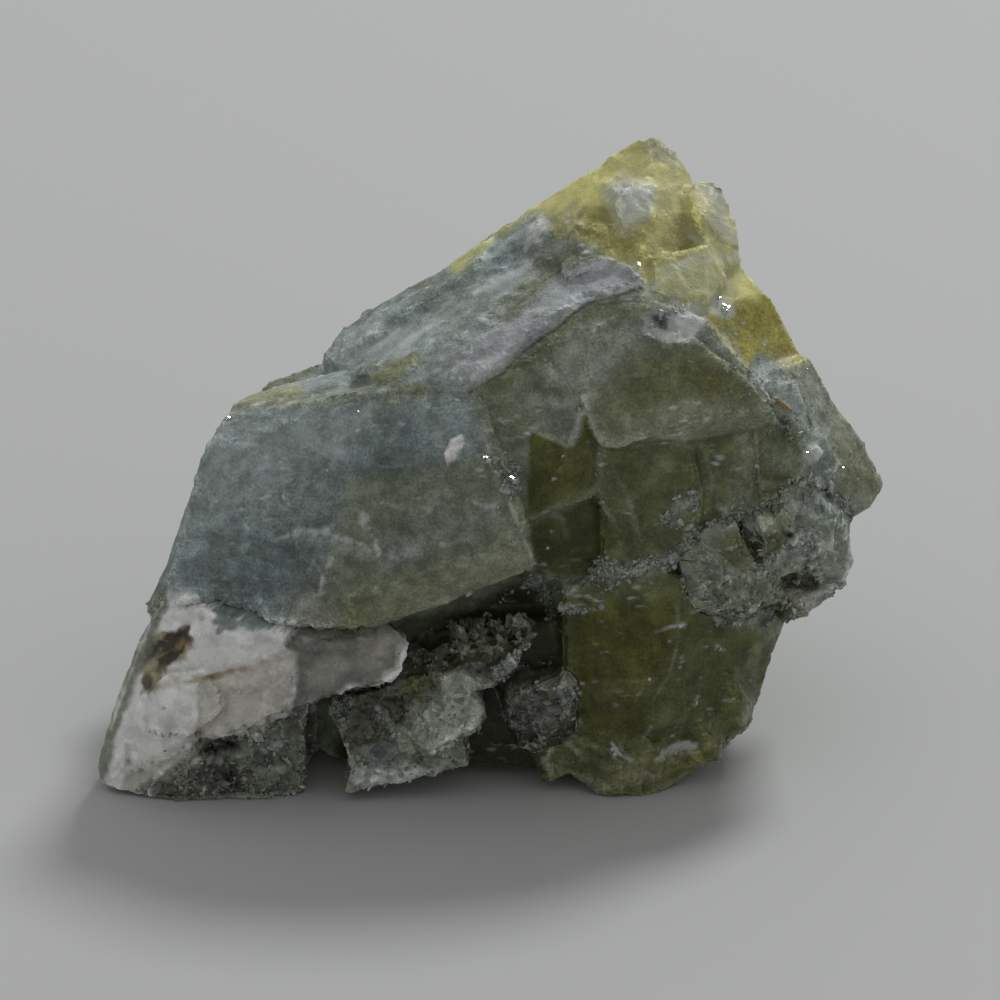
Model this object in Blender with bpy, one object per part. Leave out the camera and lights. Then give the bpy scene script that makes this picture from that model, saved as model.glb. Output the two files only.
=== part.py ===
"""A broken chunk of fluorite with quartz, standing on a table as it lies.

The fluorite is one solid: a slope and a slab on the left, stepped cubes in the middle, a cube that
reaches the table on the right, and a crest behind them. Quartz grew on it in four places, and each
place is a solid of its own that sits in a seat cut from the fluorite.

Blocks are drawn in millimetres. lean() places a point on a plane that leans back from the table, as
the specimen's front is looked at: across, up the plane, and back from it. spot() places a point
directly: across, back and up.
"""

import math
import random

import bmesh
import bpy
from mathutils import Matrix, Vector, noise

MM = 0.001
WIDTH = 60.0  # across the whole specimen
DRAWN_WIDTH = 60.0  # the width that the stations below are drawn at
LEAN = math.radians(25)  # how far the drawing plane leans back
FRONT_LINE = -17.0  # depth at which that plane meets the table
CUBE_TURN = math.radians(-20)  # the cubes sit turned about the depth axis
CUBE_NOD = math.radians(6)  # and lean forward by this
GAP = 0.3  # between the quartz and its seat
SPARE = 0.15  # more room in the seat, because the quartz faces are uneven
TABLE = 0.0
LUMP_CELL = 3.0  # face size and unevenness of the small lumps
LUMP_DEPTH = 0.35
OPEN_SIDE = Vector((-0.1, -0.85, 0.3))  # the way that the quartz crusts face


def lean(across, up, back):
    rise = (up - (back - FRONT_LINE) * math.sin(LEAN)) / math.cos(LEAN)
    return Vector((across, back, rise))


def spot(across, back, rise):
    return Vector((across, back, rise))


def cube_axes():
    return Matrix.Rotation(CUBE_TURN, 3, "Y") @ Matrix.Rotation(CUBE_NOD, 3, "X")


def block(corners):
    """A convex block through its corners."""
    shape = bmesh.new()
    for corner in corners:
        shape.verts.new(corner)
    made = bmesh.ops.convex_hull(shape, input=shape.verts)
    spare = {v for v in made["geom_interior"] + made["geom_unused"] if isinstance(v, bmesh.types.BMVert)}
    bmesh.ops.delete(shape, geom=list(spare), context="VERTS")
    return shape


def cube(centre, sides, bevel=0.0):
    """A cleaved cube along the crystal's axes, with its edges broken off by the bevel."""
    shape = bmesh.new()
    bmesh.ops.create_cube(shape, size=1)
    bmesh.ops.scale(shape, vec=sides, verts=shape.verts)
    if bevel:
        bmesh.ops.bevel(
            shape, geom=shape.edges[:], offset=bevel, offset_type="OFFSET", affect="EDGES",
            segments=1, profile=0.5, material=-1,
        )
    bmesh.ops.rotate(shape, cent=(0, 0, 0), matrix=cube_axes(), verts=shape.verts)
    bmesh.ops.translate(shape, vec=centre, verts=shape.verts)
    return shape


def refine(shape, cell):
    """Splits every edge that is longer than the cell."""
    for _ in range(8):
        bmesh.ops.triangulate(shape, faces=shape.faces[:])
        longer = [edge for edge in shape.edges if edge.calc_length() > cell]
        if not longer:
            break
        bmesh.ops.subdivide_edges(shape, edges=longer, cuts=1)
    bmesh.ops.triangulate(shape, faces=shape.faces[:])
    return shape


def roughen(shape, cell, depth, seed):
    """Breaks flat faces into an uneven fracture."""
    refine(shape, cell)
    shift = Vector((seed * 7.3, seed * 3.1, seed * 5.7))
    shape.normal_update()
    waves = {vert: noise.noise(vert.co / (cell * 1.3) + shift) for vert in shape.verts}
    for vert, wave in waves.items():
        vert.co += vert.normal * wave * depth
    return shape


def crystals(shape, cell, height, seed):
    """Turns each small face on the open side of a crust into a quartz point."""
    roughen(shape, cell, height * 0.6, seed)
    draw = random.Random(seed)
    shape.normal_update()
    for face in [face for face in shape.faces if face.normal.dot(OPEN_SIDE) > 0.25]:
        point = height * draw.uniform(0.2, 1.0)
        bmesh.ops.poke(shape, faces=[face], offset=point, use_relative_offset=False)
    return shape


def seat(corners, spare):
    """A block grown all round, which cuts the seat that the block sits in."""
    sides = (-GAP - spare, GAP + spare)
    shifts = [Vector((x, y, z)) for x in sides for y in sides for z in sides]
    return block([corner + shift for corner in corners for shift in shifts])


def plain_object(name, shape):
    mesh = bpy.data.meshes.new(name)
    bmesh.ops.recalc_face_normals(shape, faces=shape.faces[:])
    shape.to_mesh(mesh)
    shape.free()
    made = bpy.data.objects.new(name, mesh)
    bpy.context.scene.collection.objects.link(made)
    return made


def combine(name, first, others, operation):
    """One solid from the first shape and the others, which are used up."""
    target = plain_object(name, first)
    helpers = [plain_object(f"{name}_helper", other) for other in others]
    for helper in helpers:
        boolean = target.modifiers.new("combine", "BOOLEAN")
        boolean.operation = operation
        boolean.solver = "MANIFOLD"
        boolean.object = helper
    graph = bpy.context.evaluated_depsgraph_get()
    graph.update()
    shape = bmesh.new()
    shape.from_mesh(target.evaluated_get(graph).to_mesh())
    for used in [target, *helpers]:
        bpy.data.objects.remove(used)
    return shape


def union(name, shapes):
    return combine(name, shapes[0], shapes[1:], "UNION")


def body_from(vert, seen):
    """Every vertex joined to this one by edges."""
    found = [vert]
    seen.add(vert)
    for at in found:
        for edge in at.link_edges:
            other = edge.other_vert(at)
            if other not in seen:
                seen.add(other)
                found.append(other)
    return found


def drop_crumbs(shape):
    """Keeps the largest body: the Booleans leave crumbs and sealed pockets inside it."""
    seen = set()
    bodies = [body_from(vert, seen) for vert in shape.verts if vert not in seen]
    largest = max(bodies, key=len)
    crumbs = [vert for body in bodies if body is not largest for vert in body]
    bmesh.ops.delete(shape, geom=crumbs, context="VERTS")
    return shape


def cut(name, shape, cutters):
    return combine(name, shape, cutters, "DIFFERENCE")


def below_table():
    shape = bmesh.new()
    bmesh.ops.create_cube(shape, size=1)
    bmesh.ops.scale(shape, vec=(200, 200, 40), verts=shape.verts)
    bmesh.ops.translate(shape, vec=(0, 0, TABLE - 20), verts=shape.verts)
    return shape


# ---- fluorite: the left half ----


def left_wedge():
    """The lower terrace and the dusty face under it."""
    return block([
        lean(-21.9, 26.6, -9), lean(-20.4, 28.9, -7), lean(-18.6, 30.2, -2), lean(-13, 32.4, 1),
        lean(-6.9, 31.4, -12.5), lean(-0.8, 31.5, -12.5), lean(-23.6, 21.2, -10), lean(-24.4, 17.6, -11),
        lean(-26.4, 12.4, -11), lean(-25, 14.2, -13.4), lean(-15, 13, -17.2), lean(-3, 15, -17.6),
        spot(-2, -10, 16), spot(-1, 4, 27), spot(-22, 4, 13), spot(-24.5, -3.5, 3), spot(-12, 11, 14),
        spot(-14, 10, 22), spot(-13, 7, 5),
    ])


def slab():
    """The flat plate that stands proud of the face and overhangs the hollow."""
    front = [
        lean(-16, 23.5, -13), lean(-5, 30.6, -13), lean(-0.6, 31, -13.4), lean(-0.1, 25.8, -16.4),
        lean(3.2, 20.2, -18.7), lean(-10.4, 15.4, -18.4), lean(-14.2, 17, -16.2),
    ]
    chamfer = [lean(3.4, 17.5, -17.2), lean(-10.7, 12.3, -17.2), lean(-14.2, 13.4, -15.8)]
    behind = [spot(0, -6, 31), spot(2.4, -10, 20), spot(-10, -9, 13), spot(-14, -8, 24)]
    return block(front + chamfer + behind)


def upper_terrace():
    """The slope that climbs back from the ridge."""
    return block([
        lean(-7.4, 31.6, -12.3), lean(-0.8, 31.9, -12.6), lean(5, 35.3, -10), lean(11.4, 38.8, -7.4),
        lean(-12.8, 33.8, 0), lean(-11, 35.9, 2), lean(-5, 39, 3.5), lean(0, 42.5, 4.5),
        lean(5.3, 45.4, 4.5),
        spot(-10, 12, 25), spot(0, 14, 29), spot(8, 13, 33), spot(-11, -7, 22), spot(7, -7, 24),
        spot(7, 10, 14), spot(-9, 10, 12),
    ])


def slope_ledges():
    """Low steps that run up the slope beside each other."""
    return [
        block([
            lean(-11, 35.6, 1), lean(-4.8, 39.4, 3), lean(0, 42.9, 4), lean(-1, 40.6, 0), lean(-6, 37, -2),
            lean(-11.5, 33.8, -3), spot(-10, 2, 27), spot(0, 6, 32),
        ]),
        block([
            lean(-8.5, 33.6, -6.6), lean(-2.5, 36.8, -5), lean(4.6, 40, -3.2), lean(3.4, 37.4, -6.8),
            lean(-3, 34.2, -9), lean(-8.6, 32.3, -9.8), spot(-6, -4, 26), spot(2, -3, 31),
        ]),
        block([
            lean(-20.2, 29.4, -5), lean(-14, 31.6, -3.4), lean(-8.6, 33.6, -2.6), lean(-9.4, 31.8, -7),
            lean(-15, 30.2, -8.6), lean(-20, 28.4, -7.6), spot(-18, -3, 23), spot(-9, -3, 27),
        ]),
    ]


def ridge_plate():
    """The bright broken edge where the slope meets the cubes."""
    return block([
        lean(-1.4, 31.2, -13.2), lean(4.4, 34.4, -11.2), lean(11.3, 38.2, -8.4), lean(11.6, 39.6, -6.6),
        lean(4, 37, -8.6), lean(-2.2, 33.2, -10.6), spot(0, -8, 29), spot(10, -5, 34),
    ])


# ---- fluorite: the crest ----


def crest():
    return block([
        lean(-2.3, 41.6, 5), lean(1.6, 43.6, 4.8), lean(5.3, 46.5, 5), lean(11.2, 50.2, 4),
        lean(12.4, 50.6, 3.6),
        lean(14.1, 49.6, 3.4), lean(15.6, 47.3, 2.6), lean(3.6, 41, -1.6), lean(11.2, 39.4, -6.6),
        lean(15.8, 38, -6.2), lean(18.6, 41, 0), spot(5, 13, 31), spot(14, 12, 34), spot(13, 8, 42),
        spot(18, 4, 28), spot(3, -2, 30),
    ])


def crest_knobs():
    """Lumps on the crest: a white one in front, and a clear one at its right end."""
    return [
        block([
            lean(15.7, 47.4, 1), lean(17.6, 46.9, 0.6), lean(18.9, 43.8, 0.2), lean(19.1, 41, -0.6),
            lean(17.6, 40.3, -3.6), lean(15.6, 43.6, -3.4), lean(15, 46, -0.6), spot(14, 3, 38),
            spot(16, 3, 33),
        ]),
        block([
            lean(9.2, 45.4, -0.9), lean(11, 47.4, 0.6), lean(12.8, 46.4, 0), lean(12.4, 44, -2.4),
            lean(10.2, 43.2, -3), spot(10, 1, 38), spot(13, 2, 38),
        ]),
        block([
            lean(4.8, 41.8, -1.6), lean(6.6, 44.2, -0.6), lean(9, 43.8, -2), lean(9.4, 40.6, -5),
            lean(6, 39.6, -5.2),
            spot(5, -1, 34), spot(10, -1, 35),
        ]),
        block([
            lean(12.2, 41.4, -5.4), lean(16.6, 42.6, -3.4), lean(18.2, 39.6, -4), lean(16.4, 37.6, -7.4),
            lean(12.6, 38.6, -7.8), spot(12, -2, 33), spot(18, -1, 33),
        ]),
    ]


def amber_flank():
    """The face that falls from the crest to the right shoulder."""
    return block([
        lean(19.1, 40.8, -0.6), lean(21.3, 38, -1.6), lean(23.8, 33.3, -3), lean(19.9, 31.6, -8),
        lean(16, 36.6, -7.6), lean(15, 42, -2.6), spot(20, 8, 29), spot(22, 6, 20), spot(12, 10, 34),
        spot(14, -4, 24),
    ])


# ---- fluorite: the right half ----


def shoulder():
    return block([
        lean(19.2, 32.4, -8.4), lean(24.1, 33.5, -3.4), lean(26.2, 30.7, -3.4), lean(28.8, 27, -4.2),
        lean(30, 24.1, -5), lean(29.2, 22.4, -5.8), lean(27.4, 21.2, -7.6), lean(23.6, 22.2, -10.6),
        lean(20.6, 23, -11.4), lean(20, 28, -11), spot(25, 6, 18), spot(26.4, 4, 13), spot(20, 8, 26),
        spot(17, -4, 14),
    ])


def shoulder_chips():
    return [
        block([
            lean(22.6, 27.6, -10), lean(25.2, 28.4, -7), lean(27, 25.6, -7.6), lean(25, 23.4, -10),
            lean(22.6, 24.4, -11), spot(22, -6, 22), spot(25, -4, 20),
        ]),
        block([
            lean(20.6, 32.2, -8), lean(23.4, 31.8, -6.4), lean(24.4, 29.4, -7), lean(22, 28.2, -9.8),
            lean(20.4, 29.6, -10), spot(21, -4, 27), spot(23, -3, 26),
        ]),
    ]


def brow_cube():
    """The cube under the ridge, with a broken lower edge."""
    return block([
        lean(7, 30.8, -13.2), lean(8.3, 27.6, -13.8), lean(9, 27.3, -13.9), lean(15.3, 28.8, -13),
        lean(21.6, 29.9, -11.2),
        lean(21, 31.4, -9.6), lean(16.4, 36.6, -8.2), lean(11.4, 38.2, -8.8), lean(7.6, 36, -10.4),
        lean(7.4, 30.4, -11.8), lean(8.6, 26.6, -12.2), lean(9.4, 26, -12.1), lean(15.4, 27.2, -11.4),
        lean(21.7, 28.3, -9.6),
        spot(8, -5, 28), spot(20, -3, 24), spot(16, -2, 34),
    ])


def corner_cube():
    """The cube corner beside the slab."""
    return block([
        lean(2.7, 28.2, -14), lean(5.7, 25.9, -14.8), lean(6.8, 29.9, -13), lean(4.6, 33.4, -11.6),
        lean(0, 31.6, -12.8),
        lean(8, 27.2, -13), lean(8.4, 23.3, -13.4), lean(2, 20.8, -15.4), lean(-0.4, 26, -14.4),
        spot(0, -6, 22),
        spot(9, -6, 22), spot(8, -4, 30), spot(0, -5, 30),
    ])


def middle_cubes():
    """Three cubes stepped down under the brow."""
    return [
        block([
            lean(8.2, 26.8, -12.8), lean(15.3, 27.6, -11.8), lean(16.2, 22.6, -12.6),
            lean(15.3, 18.6, -13.2),
            lean(11.4, 17.4, -14), lean(8.4, 17.6, -14.2), spot(8, -5, 14), spot(17, -5, 14),
            spot(16, -5, 24),
            spot(8, -5, 24),
        ]),
        block([
            lean(15, 28, -10.9), lean(21.4, 28.8, -9.8), lean(21.2, 22.4, -10.8), lean(15.4, 20.6, -12),
            spot(15, -4, 16), spot(22, -4, 16), spot(21, -4, 25),
        ]),
        block([
            lean(2, 20.6, -12.6), lean(8.2, 23.4, -12), lean(9.9, 20.2, -12.2), lean(7.6, 17.6, -13),
            lean(3, 16.6, -13.6),
            spot(2, -5, 12), spot(9, -5, 12), spot(9, -5, 20), spot(1, -5, 20),
        ]),
    ]


def standing_cube():
    """The large cube whose lower corner reaches the table."""
    return block([
        lean(5.4, 16, -14.8), lean(10.6, 18.2, -14), lean(16, 16.6, -13.6), lean(22.6, 14, -9.4),
        lean(21.4, 11.8, -9.4), lean(20.2, 8, -9.8), lean(19.8, 5.6, -10.4), lean(15.3, 2.2, -14),
        lean(12.6, -0.4, -15.6), lean(9, -0.5, -16.4),
        lean(5.4, 2.3, -15.8), lean(6.4, 8.4, -15.8), lean(12.6, 11.8, -16.8), lean(14.4, 6.6, -16.2),
        lean(9.6, 3.6, -17.4), lean(12, 2.6, -17), spot(20, 2, 12), spot(20, 1, 4), spot(8, 0, 1),
        spot(6, 0, 15),
    ])


def standing_cube_steps():
    """Smaller cubes that grew on the large one's lower edges."""
    return [
        cube(lean(4.6, 4.6, -13.4), (3.2, 5, 5.2), 0.5),
        cube(lean(16.9, 8.4, -10.8), (5.2, 7, 5.6), 0.7),
        cube(lean(15.2, 5.2, -12.4), (4.4, 5.5, 4), 0.5),
    ]


def core():
    """Everything behind the front blocks."""
    return block([
        spot(-12, -8, 6), spot(4, -10, 13), spot(18, -7, 13), spot(21, -4, 12), spot(20, 6, 9),
        spot(10, 12, 6),
        spot(-10, 9, 6), spot(-12, -3, 26), spot(12, -6, 30), spot(20, 3, 28), spot(16, 7, 36),
        spot(14, -3, 35),
        spot(12, 9, 33), spot(-8, 8, 28), spot(0, -9, 26), spot(-6, -9, 9), spot(17, -7, 27),
    ])


def underside():
    """The low part in the middle, set back behind the crust."""
    return block([
        spot(-11, -13, 0.9), spot(4, -13.4, 0.8), spot(8, -12, 0.8), spot(8, -11.6, 13),
        spot(-8, -12.4, 11),
        spot(-17, -8, 1.4), spot(-16, -8, 10), spot(-13, 2, 1.4), spot(8, 4, 1.4), spot(8, 2, 12),
        spot(-13, 0, 12),
    ])


def back_foot():
    return block([
        spot(-6, 5, -0.9), spot(-3, 12.5, -0.9), spot(8, 13.5, -0.9), spot(13, 7, -0.9), spot(15, 13, 9),
        spot(4, 16.5, 12),
        spot(-9, 13, 10), spot(-12, 6, 5), spot(14, 4, 5), spot(2, 15.4, 22), spot(12, 13, 24),
        spot(-8, 12, 21),
        spot(2, 2, 14),
    ])


def back_steps():
    """Cleaved blocks down the back, each a little out of line with the last."""
    draw = random.Random(12)
    steps = []
    for across, back, rise, side in (
        (-9, 7, 16, 14), (1, 8, 22, 15), (9, 7, 30, 12), (14, 6, 20, 14), (5, 9.5, 11, 14),
        (-16, 3, 12, 10),
        (16, 4, 29, 9), (-5, 8, 25, 9), (-2, 13, 8, 8), (12, 12, 14, 8),
    ):
        sides = [side * draw.uniform(0.85, 1.15) for _ in range(3)]
        steps.append(cube(spot(across, back, rise), sides, side * 0.07))
    return steps


def fluorite_blocks():
    """Every block of the fluorite: broken ones, small lumps, and cleaved ones with flat faces."""
    broken = (
        (left_wedge, 5.0, 0.6), (upper_terrace, 4.8, 0.6), (core, 9.0, 0.5), (crest, 4.0, 0.5),
        (amber_flank, 4.4, 0.4), (shoulder, 4.0, 0.5), (underside, 5.0, 0.6), (back_foot, 6.0, 0.6),
        (ridge_plate, 3.4, 0.3), (standing_cube, 5.0, 0.25),
    )
    blocks = [roughen(make(), cell, depth, seed) for seed, (make, cell, depth) in enumerate(broken)]
    lumps = crest_knobs() + slope_ledges() + shoulder_chips()
    blocks += [roughen(lump, LUMP_CELL, LUMP_DEPTH, 20 + number) for number, lump in enumerate(lumps)]
    cleaved = [slab(), brow_cube(), corner_cube(), *middle_cubes()]
    return blocks + cleaved + standing_cube_steps() + back_steps()


def hollows():
    """The deep gap beside the left foot, and the recess under the slab."""
    return [
        block([
            lean(-13.8, 1, -19), lean(-10.8, 1, -19), lean(-11.2, 7.4, -19), lean(-13.6, 7.4, -19),
            spot(-13.6, -12, -1),
            spot(-11, -12, -1), spot(-11.2, -12.6, 6.4), spot(-13.2, -12.6, 6.4), spot(-14, -19, -1),
            spot(-10.8, -19, -1),
        ]),
        block([
            lean(-6, 11.6, -20), lean(2.8, 16.6, -20), lean(2.6, 12, -20), lean(-3.4, 8.6, -20),
            spot(-6, -11.4, 11.6),
            spot(2.4, -11.6, 17.4), spot(2.2, -11.6, 11), spot(-4, -11.4, 8),
        ]),
    ]


# ---- quartz ----


def vein_corners():
    """The milky vein that wraps the left foot: a plate, its tongue and a knob."""
    plate = [
        lean(-26.7, 12.2, -12.4), lean(-29.2, 5.6, -14), lean(-29.9, 2.4, -14.8), lean(-29.6, 1, -15.4),
        lean(-22.5, 3.9, -17.7), lean(-17.5, 6.3, -18.3), lean(-15, 12.4, -18.2), lean(-22, 15, -15.3),
        lean(-25.6, 14.4, -13.8), spot(-27, -6, 1), spot(-25.6, -7, 9), spot(-14, -10, 12),
        spot(-14, -10, 3),
    ]
    tongue = [
        lean(-17.5, 6.5, -18.4), lean(-12.2, 7.9, -18.8), lean(-9, 8.8, -18.6), lean(-6.9, 9.6, -18.2),
        lean(-6, 12, -17.6),
        lean(-10.5, 12.6, -18), lean(-15, 12.8, -18.3), spot(-14, -12, 12), spot(-7, -12, 11.6),
        spot(-8, -12, 8.4),
        spot(-15, -12, 6),
    ]
    knob = [
        lean(-24.4, 9.6, -16.2), lean(-21.4, 10, -17.4), lean(-20.2, 7.4, -18.6), lean(-22.6, 4.8, -18.6),
        lean(-26.4, 5.4, -17), lean(-26.8, 7.8, -15.8), spot(-24, -12, 7), spot(-21, -13, 6),
    ]
    return [plate, tongue, knob]


def foot_corners():
    """The sparkling foot under the vein."""
    return [
        lean(-29.2, 0.9, -15.8), lean(-24, -0.4, -17.2), lean(-18.3, -0.2, -16.8), lean(-14.2, 0.3, -15.8),
        lean(-13.9, 6.8, -16.8), lean(-22, 3.9, -17), spot(-26, -5, -0.5), spot(-14, -6, -0.5),
        spot(-14, -6, 6),
        spot(-25, -6, 5),
    ]


def thick(rim, depth):
    return rim + [corner + depth for corner in rim]


def front_crust_corners():
    """Overlapping plates of small crystals below the slab."""
    plates = (
        [lean(-12.4, 8.2, -15.6), lean(-7, 9.8, -15.6), lean(-5.4, 4.4, -17), lean(-9.8, 1.2, -17.2),
         lean(-11, 3.6, -16.6)],
        [lean(-8, 8.6, -15.2), lean(-1.6, 10.8, -15.4), lean(-0.6, 5.8, -16.6), lean(-4.6, 4, -17.4),
         lean(-7.4, 5.2, -16.6)],
        [lean(-3, 11.6, -14.6), lean(3.2, 12.6, -15.4), lean(0.4, 8.8, -16.2), lean(-2, 8.4, -16)],
        [lean(-11, 0.5, -17.2), lean(-1.6, 2.6, -16.6), lean(-2.2, 5.4, -16.4), lean(-10.4, 3.2, -16.6)],
    )
    return [thick(rim, Vector((0, 2.6, 0))) for rim in plates]


def right_crust_corners():
    """The crystal rim under the right shoulder."""
    lobes = (
        [lean(15.4, 18.4, -14.2), lean(19.4, 19.6, -13.2), lean(21.6, 16.4, -13), lean(19.6, 13.6, -13),
         lean(16.2, 15, -14.6)],
        [lean(20.6, 20.4, -12.4), lean(27.2, 21.2, -8.6), lean(27.8, 18, -8.4), lean(26.4, 15.8, -8.8),
         lean(23.2, 13.7, -10.4),
         lean(20.8, 15.6, -12.6)],
        [lean(23, 23, -11.4), lean(26.6, 21.8, -9.2), lean(26, 19, -10.4), lean(22.4, 19.4, -12.4)],
    )
    return [thick(rim, Vector((-1.6, 3.6, 0.4))) for rim in lobes]


def hollow_crust_corners():
    """A small patch of crystals in the corner left of the standing cube."""
    rim = [lean(0.8, 8.4, -14.6), lean(6, 9, -16), lean(6, 4.8, -16.6), lean(2.2, 3.9, -16)]
    return [thick(rim, Vector((0, 2.2, 0)))]


def crust(name, corner_lists, cell, height, seed):
    plates = [crystals(block(corners), cell, height, seed + n) for n, corners in enumerate(corner_lists)]
    vein_room = [seat(corners, SPARE) for corners in [*vein_corners(), foot_corners()]]
    return drop_crumbs(cut(name, union(name, plates), vein_room))


def milky_quartz():
    vein = [roughen(block(corners), 3.4, 0.35, 41 + n) for n, corners in enumerate(vein_corners())]
    foot = crystals(block(foot_corners()), 2.7, 0.5, 44)
    return drop_crumbs(cut("vein", union("vein", [*vein, foot]), [below_table()]))


# ---- finish ----


def stone_material(name, colour, roughness, transmission):
    material = bpy.data.materials.new(name)
    material.use_nodes = True
    shader = material.node_tree.nodes["Principled BSDF"]
    shader.inputs["Base Color"].default_value = (*colour, 1)
    shader.inputs["Roughness"].default_value = roughness
    shader.inputs["IOR"].default_value = 1.45
    shader.inputs["Transmission Weight"].default_value = transmission
    material.diffuse_color = (*colour, 1)
    return material


def finish(name, shape, material, middle):
    """Scales a piece to its real size, over the middle of the footprint, and makes its object."""
    bmesh.ops.translate(shape, vec=-middle, verts=shape.verts)
    bmesh.ops.scale(shape, vec=(MM * WIDTH / DRAWN_WIDTH,) * 3, verts=shape.verts)
    made = plain_object(name, shape)
    made.data.materials.append(material)


def footprint_middle(shapes):
    points = [vert.co for shape in shapes for vert in shape.verts]
    ends = [(min(p[axis] for p in points), max(p[axis] for p in points)) for axis in range(2)]
    return Vector((sum(ends[0]) / 2, sum(ends[1]) / 2, TABLE))


def main():
    for old in list(bpy.data.objects):
        bpy.data.objects.remove(old, do_unlink=True)
    fluorite_green = stone_material("fluorite_green", (0.10, 0.11, 0.07), 0.35, 0.3)
    quartz_white = stone_material("quartz_white", (0.42, 0.42, 0.40), 0.5, 0.0)
    quartz_grey = stone_material("quartz_grey", (0.20, 0.21, 0.19), 0.3, 0.0)
    front, right, hollow = front_crust_corners(), right_crust_corners(), hollow_crust_corners()
    seated = [*vein_corners(), foot_corners(), *front, *right, *hollow]
    seats = [seat(corners, SPARE) for corners in seated]
    stone = cut("fluorite", union("fluorite", fluorite_blocks()), [below_table(), *hollows(), *seats])
    pieces = {
        "fluorite": (drop_crumbs(stone), fluorite_green),
        "milky_quartz": (milky_quartz(), quartz_white),
        "quartz_crust_front": (crust("front", front, 2.6, 0.5, 50), quartz_grey),
        "quartz_crust_right": (crust("right", right, 2.5, 0.55, 60), quartz_grey),
        "quartz_crust_hollow": (crust("hollow", hollow, 1.9, 0.4, 70), quartz_grey),
    }
    middle = footprint_middle([shape for shape, _ in pieces.values()])
    for name, (shape, material) in pieces.items():
        finish(name, shape, material, middle)


if __name__ == "__main__":
    main()
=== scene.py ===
"""Surface and stage of a broken chunk of fluorite with quartz.

Each solid of the part is copied, fused into an even skin, broken up into facets, ledges and chips,
and painted. The paint and the relief are laid out on a drawing sheet that leans back over
the specimen, so that a mark keeps its place on the stone from every side.
"""

import math
import random

import bmesh
import bpy
import numpy as np
from mathutils import Matrix, Vector, noise
from mathutils.bvhtree import BVHTree
from mathutils.kdtree import KDTree


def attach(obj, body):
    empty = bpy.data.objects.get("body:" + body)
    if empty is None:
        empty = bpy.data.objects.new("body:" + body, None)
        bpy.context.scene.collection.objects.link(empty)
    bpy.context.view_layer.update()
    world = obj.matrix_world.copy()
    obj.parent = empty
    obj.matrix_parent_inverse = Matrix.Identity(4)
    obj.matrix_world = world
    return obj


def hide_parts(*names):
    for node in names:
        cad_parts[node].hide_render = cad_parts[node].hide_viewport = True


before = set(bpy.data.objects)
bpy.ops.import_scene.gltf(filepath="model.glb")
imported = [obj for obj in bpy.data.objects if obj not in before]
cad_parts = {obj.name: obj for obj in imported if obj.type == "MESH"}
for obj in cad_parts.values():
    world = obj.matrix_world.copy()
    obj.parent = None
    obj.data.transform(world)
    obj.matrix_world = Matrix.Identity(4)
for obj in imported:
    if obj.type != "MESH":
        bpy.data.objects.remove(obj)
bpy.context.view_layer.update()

bl_info = {
    "name": "Fluorite with Quartz",
    "version": (1, 0, 0),
    "blender": (4, 5, 0),
    "location": "3D View > Sidebar > Stone",
    "description": "Builds the surface of a fluorite and quartz specimen and its stage",
    "category": "Add Mesh",
}

MM = 0.001
LEAN = math.radians(25)  # the drawing sheet leans back by this
SHEET_UNIT = 0.0763 * MM  # one unit of the drawing sheet
SHEET_MIDDLE = 490.8  # sheet units across to the specimen's middle
SHEET_FOOT = 800.0  # sheet units down to the line where the sheet meets the table
FOOT_LINE = 16.55 * MM  # that line lies this far in front of the middle
VIEW = Vector((0, -math.cos(LEAN), math.sin(LEAN)))  # out of the sheet
STAND_OFF = 0.1  # metres from the sheet to where a ray towards the specimen starts
KEY_SIDE = (0.50, 0.78, 1.0)  # towards the light
SAME_PLACE = 1e-6  # vertices closer than this, in metres, are one
SHARP_ANGLE = math.radians(24)  # edges that bend more than this stay crisp
SMOOTH_ANGLE = math.radians(38)  # edges that bend less than this are shaded smooth
EDGE_STEP = 0.08 * MM  # between the places kept along a crisp edge
PLUG_DEPTH = 5 * MM  # how far a filled hollow reaches into the stone
ROUNDED_DEPTH = 0.015 * MM  # inner corners deeper than this are rounded off
CRUMBLE_DEPTH = 0.55 * MM  # unevenness of the fluorite's crumbled base
OVERLAP = 0.12 * MM  # how far a piece runs on into its neighbour
DETAIL_REACH = 4.0  # sheet units on each side of a crisp outline
SEAM_REACH = 9.0  # sheet units on each side of a seam
GLINT_REACH = 8.0  # sheet units from a glint's place to the stone that carries it
FACE_TILT = 12000  # how steeply the small crystal faces lean
CLOUD_SHADE = (0.76, 0.76, 0.72)  # what the dark clouds multiply the stone's colour by
VEIL_SHADE = (1.55, 1.58, 1.62)  # the same for the light streaks
WORN_SHADE = (1.7, 1.7, 1.65)  # the same for worn edges
JOINT_HIGHLIGHT = (1.8, 1.8, 1.8)  # the same for the painted highlight on the joints between small crystal faces
MATTE_ROUGHNESS = 0.72  # roughness where the stone is fully frosted
BUMP_DEPTH = 0.12 * MM
FLUORITE_IOR = 1.434
QUARTZ_IOR = 1.544
LIGHT_DISTANCE = 1.1  # metres
LIGHT_SIZE = 0.26
LIGHT_POWER = 6.7  # watts
ROOM_LIGHT = 0.44  # strength of the even light from all round
CAMERA_DISTANCE = 2.0
CAMERA_TARGET = Vector((0.0007, 0.0004, 0.0173))
FRAME_WIDTH = 0.0763  # metres across the picture at the target
SENSOR_WIDTH = 36  # millimetres
FLOOR_SIZE = 4  # metres from its middle to each side
FLOOR_DROP = 0.05 * MM  # keeps the floor clear of the specimen's foot

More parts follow.
